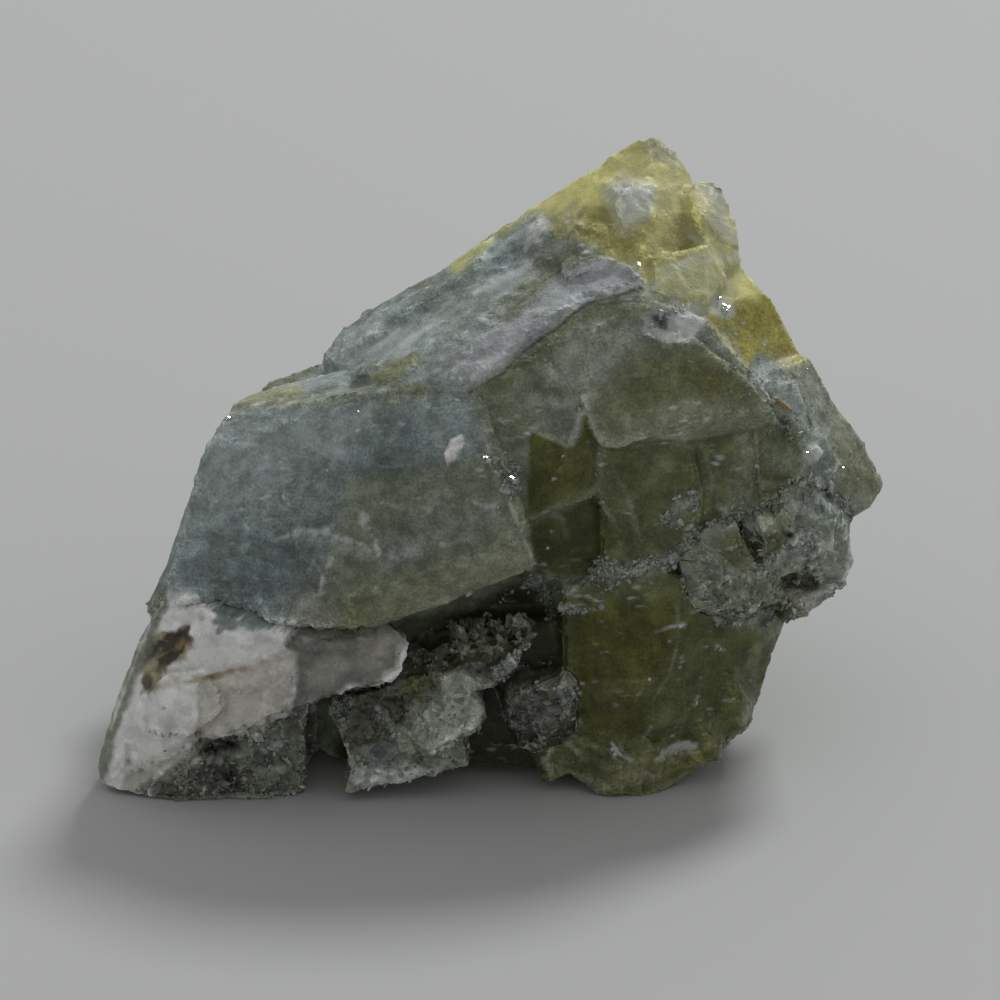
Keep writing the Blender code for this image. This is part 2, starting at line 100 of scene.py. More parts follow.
SIZES = (
    ("skin_cell", 0.58 * MM, "Mesh size of the fluorite's back; its front is twice as fine"),
    ("quartz_cell", 0.22 * MM, "Mesh size of the milky quartz"),
    ("crust_cell", 0.18 * MM, "Mesh size of the sparkling crusts"),
    ("facet_depth", 0.16 * MM, "Unevenness of the broken faces"),
    ("groove_depth", 0.16 * MM, "Depth of the grooves along the matte slope"),
    ("grain_depth", 0.05 * MM, "Unevenness of the sugary grain"),
    ("chip_depth", 0.2 * MM, "Depth of the bites out of the sharp edges"),
    ("point_length", 0.36 * MM, "Length of a quartz point on the crusts and on the quartz's foot"),
)
COLOURS = (
    ("grey_green", (0.27, 0.30, 0.22), "Main colour of the fluorite"),
    ("deep_olive", (0.125, 0.143, 0.041), "Deep faces of the cubes"),
    # near-black painted shade, laid in recesses, holes, creases and gaps under ledges
    ("hollow", (0.036, 0.036, 0.015), "Recesses and holes"),
    ("olive", (0.280, 0.275, 0.099), "Translucent olive zones"),
    ("straw", (.70, .68, .27), "Yellow crest"),
    # the crest's brightest yellow; also painted glow where light shines through its edges, and painted light
    # in a recess
    ("bright_straw_and_glow", (.98, .93, .36), "Brightest edge of the crest"),
    ("amber", (0.50, 0.45, 0.11), "Saturated yellow in the crest"),
    ("blue_grey", (0.36, 0.43, 0.43), "Dusty blue of the left face"),
    ("deep_blue", (0.20, 0.25, 0.25), "Dark part of the left face"),
    ("slope_grey", (0.418, 0.490, 0.484), "Matte slope"),
    ("lavender", (0.50, 0.53, 0.555), "Fibrous edge plate"),
    ("veil", (0.76, 0.80, 0.79), "White veils and crushed spots"),
    # paler broken edges, and painted highlights on edges, ledges and bands that face the lamp
    ("pale_edge_and_highlight", (0.46, 0.48, 0.35), "Broken edges of the cubes"),
    ("milky", (.92, .925, .905), "Milky quartz"),
    ("milky_grey", (0.42, 0.43, 0.38), "Thin grey quartz"),
    ("thin_quartz", (0.099, 0.104, 0.074), "Quartz thin enough to see the dark stone through"),
    ("druse_grey", (0.26, 0.285, 0.215), "Sparkling quartz crust"),
    ("druse_light", (0.60, 0.64, 0.60), "Light plates in the crust"),
    ("brown_olive", (.098, .095, .012), "Warm deep zone of the standing cube"),
    ("beige", (0.50, 0.47, 0.40), "Stained quartz"),
    ("iron", (0.035, 0.028, 0.018), "Iron stain"),
    ("ochre", (0.36, 0.27, 0.11), "Rust around the iron stain"),
    ("floor", (0.45, 0.46, 0.455), "Table under the specimen"),
)


class StoneSizes(bpy.types.PropertyGroup):
    """Lengths that set how rough the specimen is."""


class StoneColours(bpy.types.PropertyGroup):
    """Colours that the paint is mixed from."""


for key, size, words in SIZES:
    StoneSizes.__annotations__[key] = bpy.props.FloatProperty(
        name=key.replace("_", " ").capitalize(), description=words, default=size, unit="LENGTH",
        precision=5,
    )
for key, colour, words in COLOURS:
    StoneColours.__annotations__[key] = bpy.props.FloatVectorProperty(
        name=key.replace("_", " ").capitalize(), description=words, default=colour,
        subtype="COLOR", size=3, min=0, max=1,
    )


def sizes():
    return bpy.context.scene.stone_sizes


def colour_of(name):
    return np.array(getattr(bpy.context.scene.stone_colours, name))


# ---- shaping tools ----


def sheet_of(points):
    """Where points fall on the drawing sheet: across from its left edge and down from its top."""
    up = points[:, 2] * math.cos(LEAN) + (points[:, 1] + FOOT_LINE) * math.sin(LEAN)
    across = SHEET_MIDDLE + points[:, 0] / SHEET_UNIT
    return np.column_stack((across, SHEET_FOOT - up / SHEET_UNIT))


def out_of_sheet(place):
    """A point well in front of the specimen, straight out from this place on the sheet."""
    across, down = place
    foot = Vector(((across - SHEET_MIDDLE) * SHEET_UNIT, -FOOT_LINE, 0))
    up = Vector((0, math.sin(LEAN), math.cos(LEAN)))
    return foot + up * (SHEET_FOOT - down) * SHEET_UNIT + VIEW * STAND_OFF


def merged_copy(node):
    """The node's mesh with its loose triangles joined."""
    shape = bmesh.new()
    shape.from_mesh(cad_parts[node].data)
    bmesh.ops.remove_doubles(shape, verts=shape.verts, dist=SAME_PLACE)
    bmesh.ops.recalc_face_normals(shape, faces=shape.faces)
    return shape


def object_from(name, shape):
    mesh = bpy.data.meshes.new(name)
    shape.to_mesh(mesh)
    shape.free()
    made = bpy.data.objects.new(name, mesh)
    bpy.context.scene.collection.objects.link(made)
    return made


def evaluated_shape(target):
    graph = bpy.context.evaluated_depsgraph_get()
    graph.update()
    shape = bmesh.new()
    shape.from_mesh(target.evaluated_get(graph).to_mesh())
    bpy.data.objects.remove(target)
    return shape


def joined(shape, others):
    """The shape joined with the others. All of them are closed."""
    target = object_from("whole", shape)
    helpers = [object_from("helper", other) for other in others]
    for helper in helpers:
        boolean = target.modifiers.new("join", "BOOLEAN")
        boolean.operation = "UNION"
        boolean.solver = "MANIFOLD"
        boolean.object = helper
    result = evaluated_shape(target)
    for helper in helpers:
        bpy.data.objects.remove(helper)
    return result


def plugged(shape, hollows):
    """The shape with each hollow filled flush between these places on its rim."""
    surface = BVHTree.FromBMesh(shape)
    plugs = []
    for rim in hollows:
        plug = bmesh.new()
        for place in rim:
            hit = surface.ray_cast(out_of_sheet(place), -VIEW)[0]
            plug.verts.new(hit)
            plug.verts.new(hit - VIEW * PLUG_DEPTH)
        made = bmesh.ops.convex_hull(plug, input=plug.verts[:])
        spare = [part for part in made["geom_interior"] if isinstance(part, bmesh.types.BMVert)]
        bmesh.ops.delete(plug, geom=spare, context="VERTS")
        bmesh.ops.recalc_face_normals(plug, faces=plug.faces[:])
        plugs.append(plug)
    return joined(shape, plugs)


def block(centre, sides, turn):
    shape = bmesh.new()
    bmesh.ops.create_cube(shape, size=1)
    bmesh.ops.scale(shape, vec=sides, verts=shape.verts)
    bmesh.ops.rotate(shape, cent=(0, 0, 0), matrix=turn, verts=shape.verts)
    bmesh.ops.translate(shape, vec=centre, verts=shape.verts)
    return shape


def sharp_edges(shape):
    """Places along the shape's sharp edges, in a tree that finds the nearest one."""
    places = []
    for edge in shape.edges:
        if edge.calc_face_angle(0) > SHARP_ANGLE:
            start, end = (vert.co for vert in edge.verts)
            steps = int((end - start).length / EDGE_STEP) + 1
            places += [start.lerp(end, step / steps) for step in range(steps + 1)]
    tree = KDTree(len(places))
    for number, place in enumerate(places):
        tree.insert(place, number)
    tree.balance()
    return tree


def ring(path, width):
    """The path. A width of 0 says that it is the outline of an area, so it is led back to its start."""
    return path if width else (*path, path[0])


def gap_to_path(sheet, path):
    """How far each place on the sheet is from the path."""
    gap = np.full(len(sheet), np.inf)
    for start, end in zip(path, path[1:]):
        step = np.subtract(end, start).astype(float)
        offset = sheet - start
        along = np.clip(offset @ step / (step @ step), 0, 1)
        gap = np.minimum(gap, np.hypot(*(offset - along[:, None] * step).T))
    return gap


def inside_outline(sheet, outline):
    """Whether each place on the sheet lies within the outline."""
    x, y = sheet.T
    inside = np.zeros(len(sheet), bool)
    for (x0, y0), (x1, y1) in zip(outline, outline[1:]):
        if y0 != y1:
            inside ^= ((y0 > y) != (y1 > y)) & (x < (x1 - x0) * (y - y0) / (y1 - y0) + x0)
    return inside


def sunk_by(vert):
    """How deep the vertex lies under the middle of its neighbours."""
    neighbours = [edge.other_vert(vert).co for edge in vert.link_edges]
    middle = sum(neighbours, Vector()) / len(neighbours)
    return (middle - vert.co).dot(vert.normal)


def refine(skin, crisp_marks):
    """Cuts the mesh finer along the outlines of these marks, where it faces the sheet."""
    bmesh.ops.triangulate(skin, faces=skin.faces[:])
    skin.normal_update()
    skin.verts.ensure_lookup_table()
    sheet = sheet_of(np.array([vert.co for vert in skin.verts]))
    chosen = np.zeros(len(sheet), bool)
    for width, path in crisp_marks:
        chosen |= np.abs(gap_to_path(sheet, ring(path, width)) - width / 2) < DETAIL_REACH
    chosen &= np.array([vert.normal.dot(VIEW) > 0.1 for vert in skin.verts])
    edges = [edge for edge in skin.edges if all(chosen[vert.index] for vert in edge.verts)]
    bmesh.ops.subdivide_edges(skin, edges=edges, cuts=1, use_grid_fill=True)


def pull_onto(skin, solid, sharp, reach):
    """Moves the vertices onto the solid, and those next to its sharp edges onto the edges."""
    for vert in skin.verts:
        edge_reach = 0.45 * min(edge.calc_length() for edge in vert.link_edges)
        place = solid.find_nearest(vert.co, reach)[0]
        if place is not None:
            vert.co = place
        edge_place, _, gap = sharp.find(vert.co)
        if gap < edge_reach:
            vert.co = edge_place


def round_corners(skin):
    """Fills the deep inner corners a little."""
    skin.normal_update()
    corners = [vert for vert in skin.verts if sunk_by(vert) > ROUNDED_DEPTH]
    bmesh.ops.smooth_vert(
        skin, verts=corners, factor=0.5, use_axis_x=True, use_axis_y=True, use_axis_z=True,
    )


def fused(shape, cell, front_cuts, crisp_marks=()):
    """One even skin round the shape, finer where it faces the sheet and along crisp marks."""
    crisp = BVHTree.FromBMesh(shape)
    sharp = sharp_edges(shape)
    whole = object_from("whole", shape)
    remesh = whole.modifiers.new("fuse", "REMESH")
    remesh.mode = "VOXEL"
    remesh.voxel_size = cell
    skin = evaluated_shape(whole)
    skin.normal_update()
    for _ in range(front_cuts):
        near = {edge for face in skin.faces if face.normal.dot(VIEW) > 0.02 for edge in face.edges}
        bmesh.ops.subdivide_edges(skin, edges=list(near), cuts=1, use_grid_fill=True)
    if crisp_marks:
        refine(skin, crisp_marks)
    bmesh.ops.triangulate(skin, faces=skin.faces[:])
    pull_onto(skin, crisp, sharp, cell * 1.5)
    for _ in range(2):
        round_corners(skin)
    return skin


class Skin:
    """A shape's vertices as arrays, with the places they take on the drawing sheet."""

    def __init__(self, shape):
        self.shape = shape
        shape.verts.ensure_lookup_table()
        self.points = np.array([vert.co for vert in shape.verts])
        self.ends = np.array([[vert.index for vert in edge.verts] for edge in shape.edges])
        self.count = np.bincount(self.ends.ravel(), minlength=len(self.points))[:, None]
        self.refresh()
        self.ripple = self.waves(1.6 * MM, 3) * 0.7 + self.waves(0.55 * MM, 4) * 0.5

    def refresh(self):
        """Puts the moved vertices back in the shape and reads their normals again."""
        self.points[:, 2] = np.maximum(self.points[:, 2], 0)
        for vert, point in zip(self.shape.verts, self.points):
            vert.co = point
        self.shape.normal_update()
        self.normals = np.array([vert.normal for vert in self.shape.verts])
        self.sheet = sheet_of(self.points)
        self.facing = np.clip((self.normals @ np.array(VIEW) + 0.15) / 0.3, 0, 1)

    def waves(self, size, seed):
        """Smooth noise from -1 to 1 with bumps of this size."""
        places = self.points / size + seed * 17.3
        return np.array([noise.noise(Vector(place)) for place in places])

    def facets(self, size, seed):
        """Heights of a surface broken into tilted facets of this size, in units of the size."""
        heights = np.empty(len(self.points))
        for n, place in enumerate(self.points / size + seed * 11.7):
            at = Vector(place)
            corners = noise.voronoi(at)[1]
            heights[n] = min((at - near).dot(noise.cell_vector(near * 91.7)) for near in corners[:3])
        return heights

    def cobbles(self, size, seed):
        """How far each vertex is from the joints between cobbles of this size, and each cobble's shade."""
        joints, shades = np.empty(len(self.points)), np.empty(len(self.points))
        for n, place in enumerate(self.points / size + seed * 7.9):
            distances, centres = noise.voronoi(Vector(place))
            joints[n] = distances[1] - distances[0]
            shades[n] = noise.cell(centres[0] * 57.3)
        return joints, shades

    def mottled(self, tint, size, strength, seed):
        """The colours, darker and lighter in patches of this size."""
        patches = self.waves(size, seed) + 0.6 * self.waves(size / 2.4, seed + 1)
        return tint * np.exp(strength * patches)[:, None]

    def streaks(self, length, width, angle, seed):
        """Noise drawn out into streaks that climb the sheet at this angle."""
        along, up = self.sheet[:, 0] * SHEET_UNIT, -self.sheet[:, 1] * SHEET_UNIT
        turn = math.radians(angle)
        drawn = along * math.cos(turn) + up * math.sin(turn)
        aside = up * math.cos(turn) - along * math.sin(turn)
        places = np.column_stack((drawn / length, aside / width, self.points[:, 1] / (3 * width)))
        return np.array([noise.noise(Vector(place) + Vector((seed, seed, 0))) for place in places])

    def smoothed(self, values, rounds):
        """The values, each replaced by the mean of its neighbours' values, so many times."""
        for _ in range(rounds):
            total = np.zeros_like(values)
            np.add.at(total, self.ends[:, 0], values[self.ends[:, 1]])
            np.add.at(total, self.ends[:, 1], values[self.ends[:, 0]])
            values = total / self.count
        return values

    def mark(self, path, width, soft, ragged):
        """How far each vertex is inside a mark on the sheet: a line, or an area if the width is 0."""
        outline = ring(path, width)
        gap = gap_to_path(self.sheet, outline)
        if not width:
            gap = np.where(inside_outline(self.sheet, outline), -gap, gap)
        inwards = 0.5 - (gap - width / 2 + ragged * self.ripple) / soft
        return np.clip(inwards, 0, 1) * self.facing

    def marks(self, rows, soft, ragged):
        """The strongest of these marks (width, path) at each vertex."""
        return np.max([self.mark(path, width, soft, ragged) for width, path in rows], axis=0)

    def behind(self):
        """1 on what faces well away from the sheet, 0 on what faces it."""
        return np.clip(-4 * (self.normals @ np.array(VIEW)) - 0.8, 0, 1)

    def edge_wear(self):
        """1 on sharp outer edges, 0 on flats and in corners."""
        bulge = np.einsum("ij,ij->i", self.points - self.smoothed(self.points, 3), self.normals)
        return np.clip(bulge / (0.05 * MM) - 0.6, 0, 1)

    def relief(self, marks):
        """Raises or sinks each mark by its height."""
        total = np.zeros(len(self.points))
        for height, soft, ragged, width, path in marks:
            total += self.mark(path, width, soft, ragged) * height * MM
        self.push(total)

    def chip_edges(self, depth):
        """Breaks bites out of the sharp edges."""
        bites = np.clip(self.waves(1.1 * MM, 21) * 2.2 + 0.25, 0, 1)
        self.push(-self.edge_wear() * bites * depth)

    def push(self, heights):
        """Moves each vertex outwards by its height."""
        self.points += self.normals * heights[:, None]
        self.refresh()


def angular_lump(draw, centre, size):
    """A broken lump with flat faces, about this size."""
    lump = bmesh.new()
    bmesh.ops.create_icosphere(lump, subdivisions=1, radius=size / 2)
    stretch = [draw.uniform(0.7, 1.3) for _ in range(3)]
    for vert in lump.verts:
        vert.co *= draw.uniform(0.75, 1.25)
    bmesh.ops.scale(lump, vec=stretch, verts=lump.verts)
    spin = Matrix.Rotation(draw.uniform(0, 6.28), 3, Vector([draw.uniform(-1, 1) for _ in range(3)]))
    bmesh.ops.rotate(lump, cent=(0, 0, 0), matrix=spin, verts=lump.verts)
    bmesh.ops.translate(lump, vec=centre, verts=lump.verts)
    return lump


def append(shape, other):
    """Puts the other shape into the first as a loose piece."""
    mesh = bpy.data.meshes.new("loose")
    other.to_mesh(mesh)
    other.free()
    shape.from_mesh(mesh)
    bpy.data.meshes.remove(mesh)


def add_lumps(shape, count, smallest, largest, seed, rows):
    """Sets lumps (sizes in millimetres) into the surface along these marks."""
    guide = Skin(fused(shape.copy(), 0.6 * MM, 0))
    chance = guide.marks(rows, 4, 2)
    draw = random.Random(seed)
    for place in draw.choices(range(len(chance)), weights=list(chance), k=count):
        size = draw.uniform(smallest, largest) * MM
        centre = guide.points[place] - guide.normals[place] * size * 0.3
        append(shape, angular_lump(draw, Vector(centre), size))
    guide.shape.free()
    return shape


def quartz_point_shape():
    """One six-sided quartz point, a unit wide and a unit tall, with its foot at the origin."""
    shape = bmesh.new()
    bmesh.ops.create_circle(shape, cap_ends=True, segments=6, radius=0.5)
    grown = bmesh.ops.extrude_face_region(shape, geom=shape.faces[:])["geom"]
    top = [part for part in grown if isinstance(part, bmesh.types.BMVert)]
    bmesh.ops.translate(shape, vec=(0, 0, 0.55), verts=top)
    bmesh.ops.scale(shape, vec=(0.86, 0.86, 1), verts=top)
    cap = [face for face in shape.faces if all(vert in top for vert in face.verts)]
    bmesh.ops.poke(shape, faces=cap, offset=0.45)
    bmesh.ops.recalc_face_normals(shape, faces=shape.faces)
    bmesh.ops.triangulate(shape, faces=shape.faces[:])
    return shape


def grow_points(name, skin, tint, chance, count, length, seed):
    """Sets quartz points on a skin, more of them where the chance is higher, as one piece."""
    template = quartz_point_shape()
    corners = np.array([vert.co for vert in template.verts])
    sides = np.array(sorted([vert.index for vert in face.verts] for face in template.faces))
    template.free()
    draw = np.random.default_rng(seed)
    at = draw.choice(len(chance), size=count, p=chance / chance.sum())
    tall = length * draw.uniform(0.5, 1.2, count) * (1 + 0.7 * (draw.random(count) > 0.92))
    wide = tall * draw.uniform(0.5, 0.95, count)
    up = skin.normals[at] + draw.normal(0, 0.6, (count, 3))
    up /= np.linalg.norm(up, axis=1)[:, None]
    side = np.cross(up, draw.normal(0, 1, (count, 3)))
    side /= np.linalg.norm(side, axis=1)[:, None]
    third = np.cross(up, side)
    foot = skin.points[at] + draw.normal(0, 0.1 * MM, (count, 3)) - up * (tall * 0.6)[:, None]
    places = (
        foot[:, None]
        + corners[None, :, :1] * (side * wide[:, None])[:, None]
        + corners[None, :, 1:2] * (third * wide[:, None])[:, None]
        + corners[None, :, 2:] * (up * tall[:, None])[:, None]
    ).reshape(-1, 3)
    places[:, 2] = np.maximum(places[:, 2], 0.02 * MM)
    faces = (sides[None] + (np.arange(count) * len(corners))[:, None, None]).reshape(-1, 3)
    mesh = bpy.data.meshes.new(name)
    mesh.from_pydata(places.tolist(), [], faces.tolist())
    shade = tint[at] * draw.uniform(0.55, 1.3, (count, 1))
    made = bpy.data.objects.new(name, mesh)
    bpy.context.scene.collection.objects.link(made)
    colour_mesh(mesh, np.repeat(shade, len(corners), axis=0), 0.1, 0)
    mesh.materials.append(finish("clear_quartz_points"))
    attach(made, "root")


def flake(draw, foot, normal, count, size):
    """One of several flakes of about this size over this foot, turned nearly halfway to the light."""
    halfway = (VIEW + Vector(KEY_SIDE).normalized()).normalized()
    apart = Vector([draw.gauss(0, 0.05 * MM * count) for _ in range(3)])
    centre = foot + apart + normal * 0.15 * MM
    facing = (halfway + Vector([draw.gauss(0, 0.025) for _ in range(3)])).normalized()
    spin = Matrix.Rotation(draw.uniform(0, 3), 3, "Z")
    side = size * draw.uniform(0.6, 1.2)
    turn = facing.to_track_quat("Z", "Y").to_matrix() @ spin
    return block(centre - facing * side / 2, (side, side * 0.6, side), turn)


def glint_flakes(name, skin, rows):
    """Small polished flakes that send the light to the viewer: count, size in millimetres, places."""
    shape = bmesh.new()
    draw = random.Random(5)
    for count, size, places in rows:
        for place in places:
            apart = np.hypot(*(skin.sheet - place).T) + 1e3 * (skin.facing < 0.4)
            near = np.argmin(apart)
            for _ in range(count if apart[near] < GLINT_REACH else 0):
                foot, normal = Vector(skin.points[near]), Vector(skin.normals[near])
                append(shape, flake(draw, foot, normal, count, size * MM))
    made = object_from(name, shape)
    # the flakes are painted white: a painted glint over the light they reflect
    colour_mesh(made.data, np.tile(colour_of("veil"), (len(made.data.vertices), 1)), 0, 0)
    made.data.materials.append(finish("clear_quartz_points"))
    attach(made, "root")


def close_gap(skin, neighbour, reach):
    """Moves the sides and the back of a piece on into its neighbour, so that no slit shows."""
    for number, point in enumerate(skin.points):
        place, _, _, gap = neighbour.find_nearest(point, reach)
        if place is None or gap < SAME_PLACE:
            continue
        toward = (np.array(place) - point) / gap
        outer = max(0.0, float(-toward @ skin.normals[number]))
        share = min(1, (reach - gap) / (0.35 * reach)) * max(0, 1 - 1.7 * outer)
        skin.points[number] += toward * (gap + OVERLAP) * share
    skin.refresh()


# ---- marks on the sheet: where each colour lies ----
# outlines that more than one table uses
UPPER_CORNER = ((530, 430), (567, 447), (583, 405), (597, 447), (597, 495), (526, 530))
LOWER_CORNER = ((526, 532), (597, 497), (622, 540), (590, 575), (536, 578))
RUST_CHIP = ((766, 400), (776, 398), (790, 411), (786, 416))
WHITE_CHIP = ((445, 455), (452, 440), (462, 435), (467, 444), (458, 460), (448, 465))
PALE_FACE = ((548, 384), (562, 348), (600, 326), (614, 342), (600, 372), (572, 394))
LONG_DRUSE = ((584, 582), (598, 556), (640, 560), (684, 546), (722, 534), (716, 548), (690, 563), (640, 576),
    (604, 590))
UPPER_DRUSE = ((660, 522), (672, 497), (698, 491), (693, 510), (676, 527))
LOW_DRUSE = ((540, 598), (566, 610), (602, 610))
POCKET_DRUSE = ((489, 462), (505, 455), (520, 470), (516, 496), (508, 502), (497, 482))
SPARKLING_FOOT = ((150, 806), (158, 780), (176, 766), (194, 750), (236, 736), (266, 728), (270, 717),
    (292, 714), (320, 708), (330, 806))
ICE_PLATE = ((443, 674), (465, 667), (484, 676), (493, 684), (488, 706), (480, 724), (462, 737), (456, 746),
    (431, 755), (418, 744), (408, 731), (418, 714), (438, 702))
SMALL_PLATE = ((384, 700), (404, 696), (407, 716), (398, 724))
BLUE_PLATE = ((361, 746), (378, 738), (398, 742), (406, 758), (396, 768), (372, 768))
FOOT_PLATE = ((349, 760), (366, 774), (392, 772), (414, 768), (452, 758), (440, 774), (406, 786), (384, 784),
    (362, 791), (353, 784))
TONGUE = ((496, 674), (512, 664), (526, 654))
DARK_CUBE = ((716, 534), (732, 529), (746, 537), (762, 537), (778, 530), (786, 538), (778, 550), (756, 562),
    (738, 568), (720, 566), (712, 550))
RIM_PLATE = ((816, 536), (850, 526), (858, 552), (848, 576), (830, 584), (818, 570))
LOW_CUBE = ((762, 620), (772, 604), (780, 592), (790, 592), (794, 606), (784, 622))
PIT = ((778, 588), (782, 578), (792, 576), (794, 588), (788, 592))
SMALL_PIT = ((800, 586), (806, 578), (816, 584), (814, 592))
PINHOLE = ((787, 536), (789, 537))
HOLLOW_BAND = ((430, 668), (458, 644), (486, 622), (506, 610))
# colour, frost, strength, softness, raggedness, width, path; a width of 0 makes the path an outline

SLOPE_MARKS = (
    ("slope_grey", 1.0, 1, 14, 8, 0, ((190, 450), (222, 408), (300, 384), (322, 364), (342, 328), (424, 286),
     (488, 230), (556, 186), (575, 245), (640, 272), (557, 322), (478, 388), (400, 400), (300, 428))),
    ("olive", 0.9, 0.8, 12, 7, 0, ((222, 416), (255, 396), (301, 400), (340, 388), (368, 372), (415, 354),
     (428, 362), (390, 384), (345, 404), (300, 416), (222, 422))),
    ("olive", 0.8, 0.75, 8, 5, 0, ((374, 402), (392, 388), (432, 384), (424, 400), (400, 408))),
    ("grey_green", 1.0, 0.5, 30, 12, 0, ((420, 300), (470, 262), (500, 300), (450, 340))),
    ("olive", 0.9, 0.3, 20, 8, 0, ((483, 335), (520, 300), (552, 290), (540, 322), (500, 346))),
    ("lavender", 1.0, 0.6, 20, 10, 0, ((430, 372), (470, 340), (520, 320), (500, 350), (450, 385))),
    ("veil", 1.0, 0.55, 5, 2, 3, ((330, 394), (352, 382), (380, 368))),
    ("veil", 1.0, 0.3, 6, 3, 4, ((240, 404), (275, 398), (300, 390), (330, 376))),
    ("veil", 1.0, 0.35, 16, 12, 0, ((342, 356), (352, 338), (385, 324), (414, 320), (402, 340), (380, 352))),
    ("veil", 1.0, 0.55, 6, 4, 4, ((350, 360), (368, 344))),
    ("veil", 1.0, 0.45, 10, 6, 8, ((396, 360), (412, 340), (436, 324))),
    ("veil", 1.0, 0.3, 14, 9, 12, ((430, 332), (461, 308), (498, 284), (520, 266))),
    ("veil", 1.0, 0.3, 10, 8, 6, ((450, 372), (480, 350), (500, 340))),
    ("deep_blue", 0.8, 0.85, 9, 6, 0, ((484, 274), (492, 256), (512, 244), (528, 250), (520, 266),
     (500, 278))),
    ("veil", 1.0, 0.6, 6, 5, 5, ((526, 252), (532, 236), (538, 224))),
    ("veil", 1.0, 0.5, 7, 6, 5, ((476, 294), (498, 280), (520, 270), (544, 256))),
    ("deep_blue", 0.8, 0.6, 5, 4, 4, ((540, 246), (556, 236))),
    ("straw", 0.6, 0.85, 12, 5, 14, ((456, 266), (488, 236), (524, 210), (558, 190))),
    ("straw", 0.9, 0.5, 8, 4, 6, ((226, 412), (255, 394))),
)
CREST_MARKS = (
    ("straw", 0.5, 1, 10, 6, 0, ((556, 184), (640, 130), (696, 160), (740, 225), (750, 278), (770, 297),
     (740, 330), (704, 318), (650, 294), (606, 262), (556, 238), (536, 215))),
    # this and the later bright straw rows: the crest's real yellow, painted brighter as a glow where light
    # shines through
    ("bright_straw_and_glow", 0.4, 1, 12, 4, 0, ((530, 208), (581, 176), (616, 154), (651, 156), (646, 184),
     (613, 194), (600, 210), (572, 228), (548, 214))),
    ("milky_grey", 0.6, 0.6, 12, 5, 0, ((640, 142), (655, 132), (678, 144), (692, 160), (698, 178),
     (686, 174), (668, 164), (650, 162))),
    ("bright_straw_and_glow", 0.5, 0.6, 6, 4, 0, ((640, 170), (652, 164), (668, 168), (670, 182), (660, 192),
     (646, 186))),
    ("olive", 0.4, 0.5, 4, 3, 0, ((574, 230), (579, 211), (588, 205), (601, 207), (611, 214), (615, 230),
     (612, 250), (596, 258), (580, 252))),
    ("amber", 0.3, 0.8, 8, 6, 0, ((622, 262), (616, 242), (632, 226), (656, 220), (680, 213), (700, 214),
     (703, 226), (692, 240), (698, 252), (680, 262), (650, 271))),
    ("bright_straw_and_glow", 0.5, 0.6, 3, 3, 3, ((658, 218), (672, 214), (692, 212))),
    ("veil", 0.8, 0.6, 4, 4, 5, ((690, 238), (697, 242))),
    ("veil", 0.8, 0.35, 4, 4, 4, ((650, 274), (676, 266), (700, 256), (716, 248))),
    ("veil", 0.5, 0.8, 15, 5, 0, ((603, 194), (612, 186), (624, 179), (641, 182), (653, 190), (655, 204),
     (645, 218), (632, 224), (626, 231), (618, 226), (611, 209))),
    # painted sparkles on the clear lump
    ("milky", 0.5, 0.7, 5, 4, 6, ((616, 190), (626, 194))),
    ("milky", 0.5, 0.7, 5, 4, 6, ((643, 198), (650, 202))),
    ("veil", 0.4, 0.55, 4, 4, 0, ((688, 184), (706, 183), (720, 188), (730, 206), (740, 234), (740, 248),
     (722, 241), (708, 223), (698, 208))),
    ("bright_straw_and_glow", 0.5, 0.45, 4, 4, 0, ((722, 206), (732, 214), (739, 236), (730, 238))),
    ("olive", 0.5, 0.6, 3, 3, 3, ((690, 200), (700, 214), (710, 232), (722, 244), (736, 250))),
    ("bright_straw_and_glow", 0.4, 0.5, 4, 2, 4, ((684, 188), (714, 182))),
    ("veil", 0.8, 0.4, 8, 6, 8, ((648, 288), (690, 264), (736, 258))),
    ("milky_grey", 0.6, 0.35, 14, 8, 0, ((650, 292), (700, 264), (738, 275), (736, 300), (704, 314))),
    ("bright_straw_and_glow", 0.5, 0.6, 6, 4, 0, ((732, 270), (752, 278), (754, 300), (736, 298))),
    ("amber", 0.25, 1, 6, 4, 0, ((704, 322), (720, 300), (740, 300), (771, 292), (808, 360), (792, 376),
     (757, 354), (745, 374), (718, 336))),
    # a painted glint
    ("veil", 0.6, 0.8, 5, 4, 0, ((708, 302), (718, 296), (733, 302), (735, 316), (722, 322), (708, 314))),
    ("olive", 0.4, 0.5, 8, 6, 0, ((712, 322), (726, 320), (742, 350), (740, 368), (724, 344))),
    ("bright_straw_and_glow", 0.5, 0.5, 4, 3, 5, ((782, 326), (790, 338), (794, 350))),
)
RIDGE_MARKS = (
    ("lavender", 0.7, 0.55, 18, 8, 0, ((450, 380), (480, 382), (500, 369), (540, 334), (572, 309),
     (583, 300), (640, 284), (632, 268), (600, 256), (570, 236), (548, 262), (524, 292), (490, 318),
     (462, 344), (440, 372))),
    ("lavender", 0.7, 0.9, 4, 4, 0, ((466, 390), (482, 380), (500, 369), (511, 356), (527, 342), (540, 333),
     (554, 324), (572, 308), (583, 300), (608, 295), (626, 289), (640, 284), (634, 270), (618, 266),
     (600, 266), (584, 276), (566, 290), (546, 310), (524, 326), (500, 340), (482, 356))),
    ("veil", 1.0, 0.3, 5, 3, 4, ((500, 352), (550, 312), (600, 280), (636, 274))),
    ("veil", 1.0, 0.25, 4, 3, 3, ((470, 372), (505, 350), (545, 322))),
    # painted shadow under the lavender plate's lower edge
    ("hollow", 0.5, 0.55, 4, 3, 3, ((470, 393), (503, 374), (515, 360), (544, 336), (558, 328), (576, 312),
     (587, 304), (610, 299), (628, 293), (642, 288))),
)
